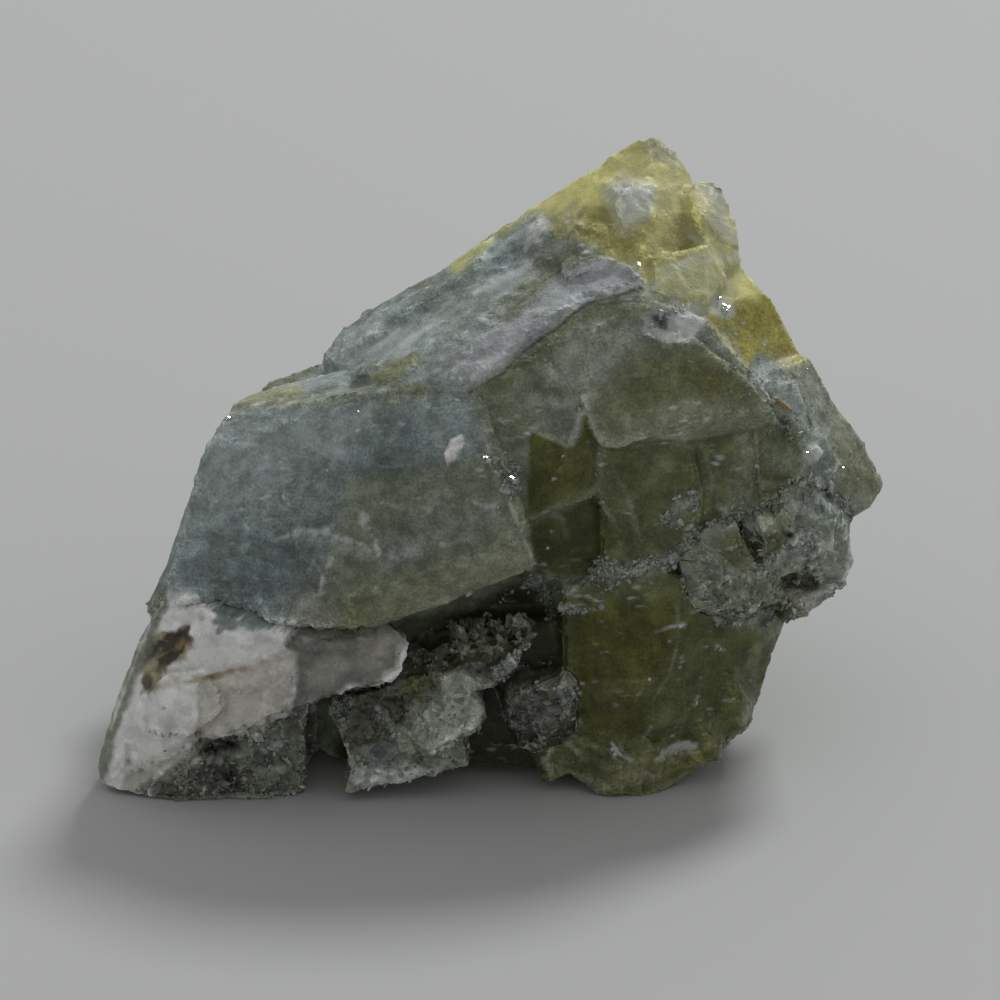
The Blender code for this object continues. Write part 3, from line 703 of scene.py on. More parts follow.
MIDDLE_MARKS = (
    ("grey_green", 0.6, 1, 14, 6, 0, ((470, 392), (560, 332), (642, 287), (700, 312), (720, 336), (640, 345),
     (582, 394), (490, 458))),
    ("pale_edge_and_highlight", 0.5, 0.3, 24, 10, 0, ((560, 360), (620, 310), (660, 300), (620, 350), (570, 390))),
    ("slope_grey", 0.5, 0.35, 22, 8, 0, ((546, 380), (556, 350), (580, 330), (606, 330), (600, 366),
     (578, 390))),
    ("veil", 0.7, 0.75, 9, 8, 0, ((640, 334), (652, 312), (700, 304), (706, 325), (690, 345), (660, 344))),
    # painted shade in a small pit
    ("hollow", 0.4, 0.8, 4, 3, 7, ((654, 320), (662, 324))),
    ("pale_edge_and_highlight", 0.4, 0.8, 9, 5, 0, ((538, 396), (556, 402), (583, 392), (580, 404), (560, 411))),
    ("veil", 0.8, 0.3, 8, 8, 5, ((706, 338), (746, 372), (772, 402), (798, 438))),
)
CUBE_MARKS = (
    ("grey_green", 0.3, 0.9, 7, 3, 0, ((584, 394), (640, 346), (704, 342), (770, 402), (778, 422),
     (689, 440), (645, 436), (603, 446))),
    ("olive", 0.3, 0.45, 20, 6, 0, ((600, 396), (640, 356), (704, 352), (760, 402), (690, 420), (606, 430))),
    ("deep_olive", 0.25, 0.5, 26, 8, 0, ((620, 380), (700, 360), (730, 392), (640, 412))),
    # pale lower band of the brow: broken edge, and painted highlight
    ("pale_edge_and_highlight", 0.3, 0.45, 14, 3, 22, ((606, 436), (650, 422), (700, 410), (774, 414))),
    ("pale_edge_and_highlight", 0.4, 0.75, 5, 2, 6, ((583, 396), (590, 422), (602, 444), (616, 445))),
    ("pale_edge_and_highlight", 0.4, 0.5, 4, 2, 4, ((616, 446), (645, 436), (689, 441), (736, 431), (772, 421))),
    ("deep_olive", 0.2, 0.9, 4, 2, 0, UPPER_CORNER),
    ("brown_olive", 0.2, 0.5, 6, 2, 0, UPPER_CORNER),
    ("pale_edge_and_highlight", 0.2, 0.35, 6, 2, 11, ((526, 524), (597, 491))),
    ("pale_edge_and_highlight", 0.5, 0.9, 3, 1, 4, ((530, 430), (567, 447), (583, 406))),
    ("deep_olive", 0.15, 1, 4, 2, 0, LOWER_CORNER),
    ("deep_olive", 0.3, 0.7, 14, 5, 0, ((600, 452), (645, 441), (760, 430), (800, 450), (790, 520),
     (700, 560), (600, 580))),
    ("pale_edge_and_highlight", 0.3, 0.35, 14, 4, 0, ((738, 436), (756, 432), (752, 470), (745, 500), (730, 490))),
    ("deep_olive", 0.25, 0.8, 4, 2, 50, ((777, 457), (779, 459))),
    ("pale_edge_and_highlight", 0.4, 0.5, 4, 3, 3, ((760, 484), (780, 486), (798, 478), (806, 460))),
    ("pale_edge_and_highlight", 0.4, 0.35, 6, 3, 5, ((600, 500), (612, 526), (620, 545))),
)
SHOULDER_MARKS = (
    ("slope_grey", 0.9, 0.65, 18, 9, 0, ((722, 338), (745, 374), (757, 354), (806, 366), (886, 480),
     (874, 507), (852, 525), (806, 530), (800, 437), (771, 402))),
    ("olive", 0.7, 0.45, 20, 8, 0, ((840, 430), (884, 480), (872, 502), (845, 500), (835, 460))),
    ("ochre", 0.8, 0.9, 3, 2, 0, RUST_CHIP),
    ("veil", 0.9, 0.9, 4, 3, 0, ((801, 450), (812, 445), (821, 452), (815, 462), (803, 460))),
    ("veil", 0.9, 0.5, 5, 5, 5, ((784, 492), (812, 494), (826, 486))),
    # painted shade in the crease down the shoulder
    ("hollow", 0.5, 0.6, 4, 4, 4, ((776, 416), (800, 432))),
)
FACE_MARKS = (
    ("blue_grey", 0.9, 1, 24, 10, 0, ((190, 452), (300, 428), (400, 400), (470, 392), (490, 456), (350, 480),
     (320, 560), (300, 625), (210, 632), (145, 620), (168, 541))),
    ("deep_blue", 0.8, 0.9, 50, 20, 70, ((230, 585), (290, 560), (330, 520), (400, 470))),
    ("slope_grey", 0.9, 0.4, 14, 10, 12, ((200, 450), (186, 498), (174, 541))),
    ("slope_grey", 0.9, 0.35, 14, 12, 12, ((212, 500), (250, 460), (300, 432))),
    ("grey_green", 0.5, 1, 20, 6, 0, ((350, 484), (486, 460), (508, 501), (533, 566), (343, 642),
     (322, 592))),
    ("deep_blue", 0.5, 0.45, 30, 12, 0, ((360, 540), (440, 500), (480, 530), (400, 580))),
    ("pale_edge_and_highlight", 0.3, 0.6, 12, 3, 0, ((523, 532), (535, 566), (345, 645), (338, 612))),
    ("olive", 0.3, 0.5, 12, 5, 0, ((335, 605), (360, 600), (365, 625), (345, 636))),
    ("milky_grey", 0.7, 0.55, 12, 6, 0, ((290, 596), (318, 588), (332, 612), (338, 640), (300, 642))),
    ("veil", 0.9, 0.7, 4, 7, 3, ((274, 541), (300, 534))),
    ("veil", 0.8, 0.7, 5, 8, 4, ((300, 531), (322, 531), (346, 540), (368, 545))),
    ("veil", 0.8, 0.35, 10, 9, 12, ((296, 536), (330, 542), (362, 550))),
    ("veil", 0.8, 0.65, 5, 8, 3, ((365, 518), (374, 540), (380, 555))),
    ("veil", 0.8, 0.4, 5, 8, 3, ((384, 504), (410, 510), (430, 508))),
    ("veil", 0.8, 0.7, 4, 6, 3, ((314, 560), (324, 578), (332, 560))),
    ("veil", 0.8, 0.6, 4, 5, 3, ((324, 578), (321, 594))),
    ("veil", 0.8, 0.5, 4, 6, 2, ((470, 500), (484, 508), (494, 506))),
    ("veil", 0.8, 0.2, 14, 8, 14, ((395, 560), (440, 534), (490, 520))),
    ("milky", 0.9, 1, 3, 2, 0, WHITE_CHIP),
    ("veil", 0.6, 0.7, 3, 2, 3, ((489, 462), (509, 502), (533, 562))),
    ("pale_edge_and_highlight", 0.5, 0.6, 3, 1, 3, ((345, 643), (533, 567))),
    ("milky", 0.9, 0.85, 12, 9, 0, ((158, 614), (185, 596), (206, 604), (214, 634), (165, 644))),
    ("milky", 0.9, 0.45, 12, 10, 12, ((212, 632), (250, 626), (294, 620))),
    ("veil", 0.9, 0.5, 9, 6, 8, ((360, 420), (368, 408), (378, 404))),
)
LOW_MARKS = (
    # painted shade over the gap under the slab, between the foot and the standing cube
    ("hollow", 0.3, 0.95, 10, 6, 0, ((400, 642), (536, 574), (548, 600), (564, 680), (552, 740), (548, 780),
     (540, 800), (330, 800), (345, 690))),
    ("deep_olive", 0.15, 0.8, 10, 4, 0, ((544, 602), (600, 600), (701, 594), (729, 624), (780, 640),
     (760, 703), (732, 740), (695, 772), (634, 805), (592, 792), (545, 778), (564, 669))),
    ("olive", 0.12, 0.4, 26, 8, 0, ((572, 640), (600, 616), (664, 600), (676, 650), (640, 690), (576, 684))),
    ("pale_edge_and_highlight", 0.2, 0.35, 4, 2, 2, ((590, 680), (620, 679), (652, 680))),
    ("olive", 0.2, 0.5, 16, 5, 0, ((598, 784), (634, 762), (700, 742), (730, 738), (694, 772), (634, 802))),
    # white crushed streaks at the standing cube's foot, also standing in for its glints: painted highlight
    ("veil", 0.5, 1, 3, 3, 4, ((611, 743), (615, 751), (623, 757), (631, 762))),
    ("veil", 0.5, 0.7, 3, 2, 1, ((619, 747), (628, 756), (636, 764))),
    ("veil", 0.5, 0.7, 3, 2, 1, ((607, 749), (612, 758), (622, 764))),
    ("veil", 0.5, 1, 3, 3, 5, ((656, 761), (668, 755), (680, 750), (695, 747))),
    ("veil", 0.5, 0.9, 3, 3, 3, ((662, 754), (674, 748), (687, 743))),
    ("veil", 0.5, 0.6, 3, 2, 1, ((668, 762), (684, 756), (699, 753))),
    ("veil", 0.5, 0.6, 3, 2, 1, ((704, 750), (716, 746), (724, 741))),
    ("veil", 0.5, 0.6, 3, 2, 1, ((640, 742), (646, 736), (650, 728))),
    ("pale_edge_and_highlight", 0.4, 0.9, 4, 2, 5, ((578, 720), (566, 742), (576, 752))),
    ("pale_edge_and_highlight", 0.4, 0.9, 4, 2, 5, ((557, 736), (545, 762), (552, 775))),
    ("druse_grey", 0.8, 0.85, 5, 5, 0, LONG_DRUSE),
    ("druse_light", 0.8, 0.6, 4, 4, 3, ((600, 578), (650, 566), (700, 548))),
    ("druse_grey", 0.8, 0.8, 5, 5, 0, UPPER_DRUSE),
    ("druse_grey", 0.8, 0.8, 4, 4, 6, LOW_DRUSE),
    ("druse_grey", 0.8, 0.85, 5, 4, 0, POCKET_DRUSE),
)
DETAIL_MARKS = (
    # dark green top of the standing cube under the druse strip, darkened further as painted shade
    ("deep_olive", 0.2, 0.85, 8, 5, 0, ((558, 604), (590, 586), (640, 580), (700, 560), (716, 580),
     (700, 598), (640, 602), (566, 614))),
    # painted light on the brow's lower band, which the brow's overhang leaves in shade
    ("pale_edge_and_highlight", 0.4, 0.6, 6, 3, 0, ((610, 444), (660, 431), (757, 412), (772, 408), (770, 424), (690, 440),
     (640, 444))),
    ("slope_grey", 0.9, 0.5, 24, 12, 0, ((188, 462), (222, 418), (300, 404), (310, 430), (240, 470),
     (196, 510))),
    ("veil", 0.7, 0.35, 12, 8, 14, ((536, 398), (560, 408), (584, 398))),
    ("veil", 0.7, 0.3, 16, 8, 16, ((596, 380), (612, 352), (640, 330))),
    ("grey_green", 0.5, 0.7, 12, 6, 0, ((486, 392), (545, 355), (580, 335), (600, 325), (640, 305),
     (610, 340), (590, 380), (560, 396), (520, 420))),
    ("olive", 0.3, 0.35, 16, 8, 0, ((690, 380), (730, 372), (742, 392), (706, 400))),
    ("pale_edge_and_highlight", 0.4, 0.45, 20, 10, 0, ((640, 450), (690, 448), (680, 480), (640, 490))),
    ("deep_olive", 0.3, 0.65, 16, 8, 0, ((600, 540), (640, 500), (660, 530), (640, 550))),
    ("pale_edge_and_highlight", 0.4, 0.45, 5, 4, 3, ((604, 450), (628, 500), (640, 540))),
    ("pale_edge_and_highlight", 0.4, 0.35, 4, 4, 3, ((640, 446), (668, 470), (676, 500))),
    ("pale_edge_and_highlight", 0.4, 0.35, 4, 4, 3, ((700, 446), (712, 480), (706, 510))),
    ("slope_grey", 0.9, 0.85, 30, 14, 0, ((188, 462), (222, 414), (300, 396), (372, 372), (340, 440),
     (260, 480), (200, 530), (174, 560))),
    ("grey_green", 0.5, 0.9, 10, 4, 36, ((777, 457), (780, 459))),
    ("pale_edge_and_highlight", 0.4, 0.45, 5, 3, 4, ((756, 444), (770, 433), (790, 434), (802, 448))),
    ("pale_edge_and_highlight", 0.5, 0.6, 20, 10, 0, ((806, 366), (850, 425), (886, 480), (870, 505), (845, 520),
     (820, 500), (840, 460), (812, 410), (790, 380))),
    ("olive", 0.5, 0.15, 16, 10, 0, ((838, 430), (878, 470), (880, 490), (856, 500), (840, 470))),
    ("brown_olive", 0.15, 0.85, 18, 6, 0, ((566, 610), (600, 604), (680, 600), (676, 650), (660, 680),
     (600, 690), (576, 684))),
    ("deep_olive", 0.15, 0.7, 10, 5, 0, ((676, 604), (760, 640), (750, 700), (700, 730), (662, 700),
     (676, 650))),
    # painted shade in a band down the left of the standing cube
    ("hollow", 0.3, 0.6, 7, 4, 12, ((560, 618), (560, 670))),
    ("brown_olive", 0.2, 0.7, 16, 6, 0, ((570, 690), (660, 690), (640, 740), (590, 736))),
    ("olive", 0.3, 0.6, 12, 6, 0, ((600, 764), (640, 758), (690, 750), (732, 724), (700, 768), (634, 803),
     (600, 788))),
    ("pale_edge_and_highlight", 0.5, 0.5, 5, 4, 4, ((560, 774), (598, 786), (634, 800), (664, 788), (694, 768))),
    ("pale_edge_and_highlight", 0.5, 0.5, 5, 4, 4, ((626, 770), (640, 780), (660, 770), (690, 752))),
    ("pale_edge_and_highlight", 0.5, 0.5, 7, 3, 5, ((757, 650), (768, 640), (780, 628))),
    ("pale_edge_and_highlight", 0.4, 0.35, 10, 5, 6, ((752, 660), (756, 700), (742, 722))),
    ("veil", 0.6, 0.6, 3, 3, 3, ((655, 632), (668, 627), (684, 625))),
    ("veil", 0.6, 0.6, 3, 2, 3, ((694, 706), (697, 697))),
    ("veil", 0.6, 0.5, 3, 2, 2, ((716, 646), (722, 650))),
    ("pale_edge_and_highlight", 0.3, 0.4, 3, 2, 2, ((676, 606), (678, 640), (668, 676), (652, 700))),
    ("deep_olive", 0.2, 0.6, 9, 4, 0, ((600, 446), (640, 444), (700, 452), (690, 486), (650, 500),
     (612, 480))),
    ("veil", 0.8, 0.5, 4, 5, 5, ((716, 506), (730, 518), (746, 528), (760, 533), (772, 517), (778, 502))),
    ("grey_green", 0.5, 0.6, 5, 4, 0, ((724, 500), (766, 496), (770, 514), (758, 528), (740, 520))),
    ("pale_edge_and_highlight", 0.5, 0.5, 4, 5, 5, ((756, 564), (768, 556), (780, 550))),
    ("veil", 0.7, 0.6, 3, 2, 0, ((681, 576), (689, 562), (700, 572), (694, 584))),
    ("pale_edge_and_highlight", 0.4, 0.5, 4, 5, 4, ((542, 596), (560, 606), (580, 608), (597, 610))),
    ("druse_light", 0.6, 0.5, 4, 5, 4, ((519, 580), (536, 588), (553, 580), (546, 572))),
    ("pale_edge_and_highlight", 0.4, 0.5, 3, 3, 5, ((553, 514), (562, 520), (566, 536))),
    ("pale_edge_and_highlight", 0.4, 0.5, 3, 2, 3, ((734, 440), (757, 436), (757, 494))),
    ("pale_edge_and_highlight", 0.3, 0.6, 3, 1, 3, ((593, 497), (604, 510), (614, 521))),
    ("veil", 0.7, 0.5, 5, 2, 5, ((572, 446), (578, 428), (582, 410))),
    ("deep_blue", 0.3, 0.5, 5, 2, 0, ((536, 428), (566, 444), (580, 408), (556, 412))),
    ("olive", 0.3, 0.25, 14, 6, 0, ((350, 590), (440, 556), (450, 580), (352, 625))),
    ("milky_grey", 0.8, 0.5, 10, 8, 0, ((292, 602), (310, 596), (330, 604), (353, 620), (352, 640),
     (320, 642), (300, 636))),
    ("milky", 0.9, 0.85, 9, 10, 0, ((146, 640), (150, 612), (172, 590), (193, 596), (202, 618), (224, 634),
     (210, 650))),
    ("milky", 0.9, 0.75, 4, 14, 12, ((206, 630), (224, 632), (256, 630), (276, 626), (290, 622))),
    ("veil", 0.9, 0.5, 5, 10, 7, ((168, 604), (182, 594), (200, 598), (212, 610))),
    ("druse_grey", 0.6, 0.8, 5, 6, 20, ((160, 592), (140, 640), (117, 690), (103, 735), (96, 768))),
    ("grey_green", 0.9, 0.95, 14, 8, 0, ((496, 316), (520, 286), (540, 262), (580, 244), (602, 258),
     (566, 276), (540, 306), (508, 328))),
    ("grey_green", 0.8, 0.5, 12, 8, 0, ((520, 250), (544, 216), (574, 204), (580, 232), (560, 258),
     (530, 268))),
    ("veil", 0.9, 0.7, 8, 7, 0, ((526, 250), (530, 228), (542, 214), (550, 224), (540, 246))),
    ("veil", 0.9, 0.35, 8, 7, 9, ((492, 292), (514, 284), (534, 276))),
    ("lavender", 0.6, 0.95, 3, 4, 11, ((474, 379), (496, 364), (508, 351), (524, 337), (537, 328),
     (551, 319), (569, 303), (582, 294), (606, 290), (624, 284), (636, 279))),
    ("lavender", 0.6, 0.85, 14, 5, 0, ((466, 390), (482, 380), (500, 369), (511, 356), (527, 342),
     (540, 333), (554, 324), (572, 308), (583, 300), (608, 295), (626, 289), (640, 284), (634, 270),
     (618, 266), (600, 264), (582, 265), (566, 280), (552, 296), (530, 314), (512, 328), (494, 344),
     (480, 360))),
    ("veil", 0.6, 0.35, 3, 3, 2, ((472, 384), (500, 366), (526, 340), (554, 321), (582, 298), (620, 288))),
    # painted shadow under the lavender plate's lower edge, and a fainter olive one below it
    ("hollow", 0.4, 0.8, 3, 3, 3, ((470, 394), (503, 375), (515, 361), (544, 338), (558, 329), (576, 313),
     (587, 305), (610, 300), (628, 294), (642, 289))),
    ("deep_olive", 0.4, 0.5, 10, 5, 8, ((480, 398), (508, 382), (520, 368), (548, 346), (562, 336),
     (580, 320), (590, 312), (612, 306))),
    ("pale_edge_and_highlight", 0.5, 0.65, 18, 8, 0, PALE_FACE),
    ("slope_grey", 0.5, 0.35, 18, 8, 0, PALE_FACE),
    ("grey_green", 0.5, 0.85, 4, 3, 12, ((304, 632), (330, 636), (352, 640), (404, 622))),
    ("straw", 0.8, 0.4, 8, 6, 11, ((178, 412), (206, 404), (250, 400), (300, 396))),
    ("olive", 0.8, 0.4, 10, 6, 10, ((285, 404), (320, 402), (352, 396))),
    ("veil", 0.9, 0.16, 30, 14, 0, ((205, 440), (300, 420), (360, 430), (350, 500), (300, 520), (215, 500))),
    ("veil", 0.8, 0.7, 8, 4, 12, ((478, 376), (494, 364), (508, 350))),
    ("veil", 0.7, 0.5, 4, 2, 3, ((584, 398), (591, 424), (604, 445), (618, 446), (645, 437))),
    ("pale_edge_and_highlight", 0.4, 0.5, 6, 3, 12, ((747, 440), (749, 468), (744, 492))),
    ("pale_edge_and_highlight", 0.4, 0.4, 5, 3, 6, ((807, 446), (803, 470), (787, 485), (764, 486))),
    # painted shade in the lower corner
    ("hollow", 0.15, 0.3, 8, 3, 0, LOWER_CORNER),
    ("blue_grey", 0.8, 0.35, 10, 5, 10, ((548, 320), (572, 302), (600, 292))),
    ("grey_green", 0.4, 0.5, 8, 4, 14, ((350, 604), (440, 566), (522, 532))),
    ("veil", 0.5, 0.13, 30, 10, 0, ((618, 150), (660, 146), (700, 170), (740, 240), (736, 300), (690, 300),
     (640, 270), (618, 230))),
    # painted light in a recess between the crest and the clear lump, which faces away from the lamp
    ("bright_straw_and_glow", 0.5, 0.5, 6, 4, 0, ((684, 190), (704, 196), (712, 216), (698, 226), (684, 214))),
    ("olive", 0.4, 0.25, 8, 6, 0, ((704, 322), (720, 306), (771, 298), (804, 360), (757, 350))),
    ("pale_edge_and_highlight", 0.3, 0.3, 10, 5, 0, ((596, 764), (664, 764), (664, 792), (600, 790))),
)
FLUORITE_MARKS = (
    SLOPE_MARKS + CREST_MARKS + RIDGE_MARKS + MIDDLE_MARKS + CUBE_MARKS + SHOULDER_MARKS + FACE_MARKS
    + LOW_MARKS + DETAIL_MARKS
)
QUARTZ_MARKS = (
    ("beige", 0.6, 0.8, 3, 5, 0, ((198, 682), (248, 670), (282, 659), (298, 652), (302, 662), (298, 678),
     (292, 712), (268, 715), (266, 725), (242, 730), (229, 735), (198, 745), (177, 741), (194, 730),
     (200, 710))),
    ("milky", 0.6, 0.8, 4, 5, 0, ((194, 645), (212, 634), (246, 632), (276, 628), (294, 621), (298, 632),
     (283, 643), (281, 656), (264, 663), (248, 667), (198, 675), (164, 684), (162, 678), (172, 667))),
    ("milky_grey", 0.6, 0.22, 12, 6, 0, ((194, 645), (212, 634), (276, 628), (298, 632), (281, 656),
     (198, 675), (172, 667))),
    ("thin_quartz", 0.5, 0.9, 5, 4, 0, ((283, 645), (298, 632), (307, 622), (345, 618), (420, 612),
     (420, 632), (400, 647), (398, 667), (387, 673), (374, 690), (350, 686), (331, 701), (309, 704),
     (311, 712), (292, 714), (298, 678), (300, 652))),
    ("milky_grey", 0.6, 0.6, 5, 5, 6, ((300, 640), (318, 634), (340, 632))),
    ("milky_grey", 0.6, 0.5, 10, 8, 0, ((306, 676), (318, 660), (336, 652), (350, 664), (338, 684),
     (316, 694))),
    ("beige", 0.6, 0.35, 8, 6, 0, ((360, 640), (400, 632), (398, 650), (376, 668), (360, 660))),
    ("milky_grey", 0.6, 0.9, 3, 3, 4, ((414, 624), (410, 640), (400, 650), (398, 667), (386, 674),
     (374, 688), (352, 683), (332, 700), (310, 703))),
    # painted shade in a small hole
    ("hollow", 0.3, 0.7, 3, 3, 6, ((296, 638), (302, 640))),
    ("druse_grey", 0.7, 1, 2, 6, 0, SPARKLING_FOOT),
    ("beige", 0.6, 0.6, 6, 6, 0, ((120, 800), (128, 770), (150, 754), (172, 744), (196, 746), (190, 764),
     (166, 780), (150, 796))),
    ("beige", 0.6, 0.4, 4, 5, 9, ((186, 768), (206, 766), (214, 772))),
    ("beige", 0.6, 0.35, 4, 5, 9, ((176, 790), (206, 786))),
    ("thin_quartz", 0.5, 0.7, 8, 6, 0, ((150, 806), (164, 786), (186, 776), (210, 776), (214, 794),
     (196, 806))),
    # painted shade in the pits and cracks of the foot
    ("hollow", 0.3, 1, 3, 4, 0, ((196, 746), (208, 742), (226, 736), (238, 736), (240, 748), (222, 753),
     (202, 754))),
    ("hollow", 0.3, 0.95, 3, 4, 0, ((217, 786), (218, 772), (230, 767), (240, 772), (241, 788))),
    ("hollow", 0.3, 0.9, 3, 3, 5, ((254, 740), (264, 738))),
    ("hollow", 0.3, 0.7, 3, 4, 4, ((240, 760), (262, 758), (276, 764))),
    ("hollow", 0.3, 0.8, 4, 5, 8, ((300, 790), (318, 770), (322, 740))),
    ("druse_light", 0.6, 0.6, 3, 4, 4, ((240, 755), (258, 750), (280, 744), (296, 738))),
    ("druse_light", 0.6, 0.5, 3, 4, 4, ((176, 772), (200, 760), (226, 760))),
    ("druse_light", 0.6, 0.5, 3, 4, 4, ((244, 780), (262, 770), (290, 766), (304, 758))),
    ("ochre", 0.8, 0.8, 4, 12, 0, ((146, 696), (143, 660), (152, 634), (172, 624), (192, 630), (196, 648),
     (180, 664), (164, 672), (158, 694))),
    ("iron", 0.6, 0.95, 3, 9, 0, ((158, 658), (164, 640), (172, 630), (190, 627), (194, 638), (184, 652),
     (174, 666), (160, 668))),
    ("iron", 0.6, 0.95, 3, 9, 9, ((146, 662), (152, 650), (160, 646))),
    ("iron", 0.6, 0.8, 3, 9, 6, ((148, 676), (152, 692))),
    ("ochre", 0.8, 0.8, 2, 8, 3, ((160, 656), (176, 648), (188, 640))),
    ("ochre", 0.8, 0.75, 3, 3, 4, ((186, 682), (197, 680), (226, 673), (246, 668))),
    ("ochre", 0.8, 0.4, 3, 3, 3, ((246, 668), (262, 663), (281, 658))),
    ("ochre", 0.8, 0.5, 8, 6, 6, ((162, 686), (176, 682), (192, 681))),
    ("milky", 0.5, 1, 4, 3, 0, ((146, 706), (152, 692), (172, 686), (190, 692), (199, 706), (198, 722),
     (186, 740), (166, 752), (152, 750), (148, 734), (130, 744), (122, 742), (126, 722), (136, 706))),
    ("milky_grey", 0.5, 0.35, 12, 8, 20, ((174, 724), (182, 716))),
    ("milky_grey", 0.5, 0.45, 4, 4, 3, ((150, 736), (147, 716), (152, 694), (172, 685), (192, 691),
     (201, 706), (200, 722), (188, 741), (166, 754))),
    ("milky", 0.5, 0.9, 5, 3, 0, ((103, 752), (112, 742), (126, 748), (128, 764), (116, 776), (102, 772))),
    ("milky_grey", 0.5, 0.7, 3, 4, 3, ((128, 744), (130, 760), (118, 778), (106, 782))),
    # painted shade in a small hole
    ("hollow", 0.3, 0.6, 3, 2, 3, ((130, 761), (132, 763))),
    ("druse_grey", 0.7, 1, 5, 5, 27, ((166, 580), (144, 636), (121, 688), (105, 734), (97, 768))),
    ("milky", 0.6, 0.7, 3, 3, 2, ((164, 600), (144, 642), (126, 690), (112, 728))),
    ("milky", 0.6, 0.6, 3, 3, 2, ((156, 606), (134, 656), (116, 704))),
    ("thin_quartz", 0.5, 0.95, 4, 3, 14, ((306, 630), (330, 632), (352, 634), (404, 620))),
    ("deep_blue", 0.8, 0.85, 4, 14, 0, ((206, 590), (260, 604), (310, 612), (300, 626), (276, 625),
     (246, 630), (222, 632), (212, 622))),
)
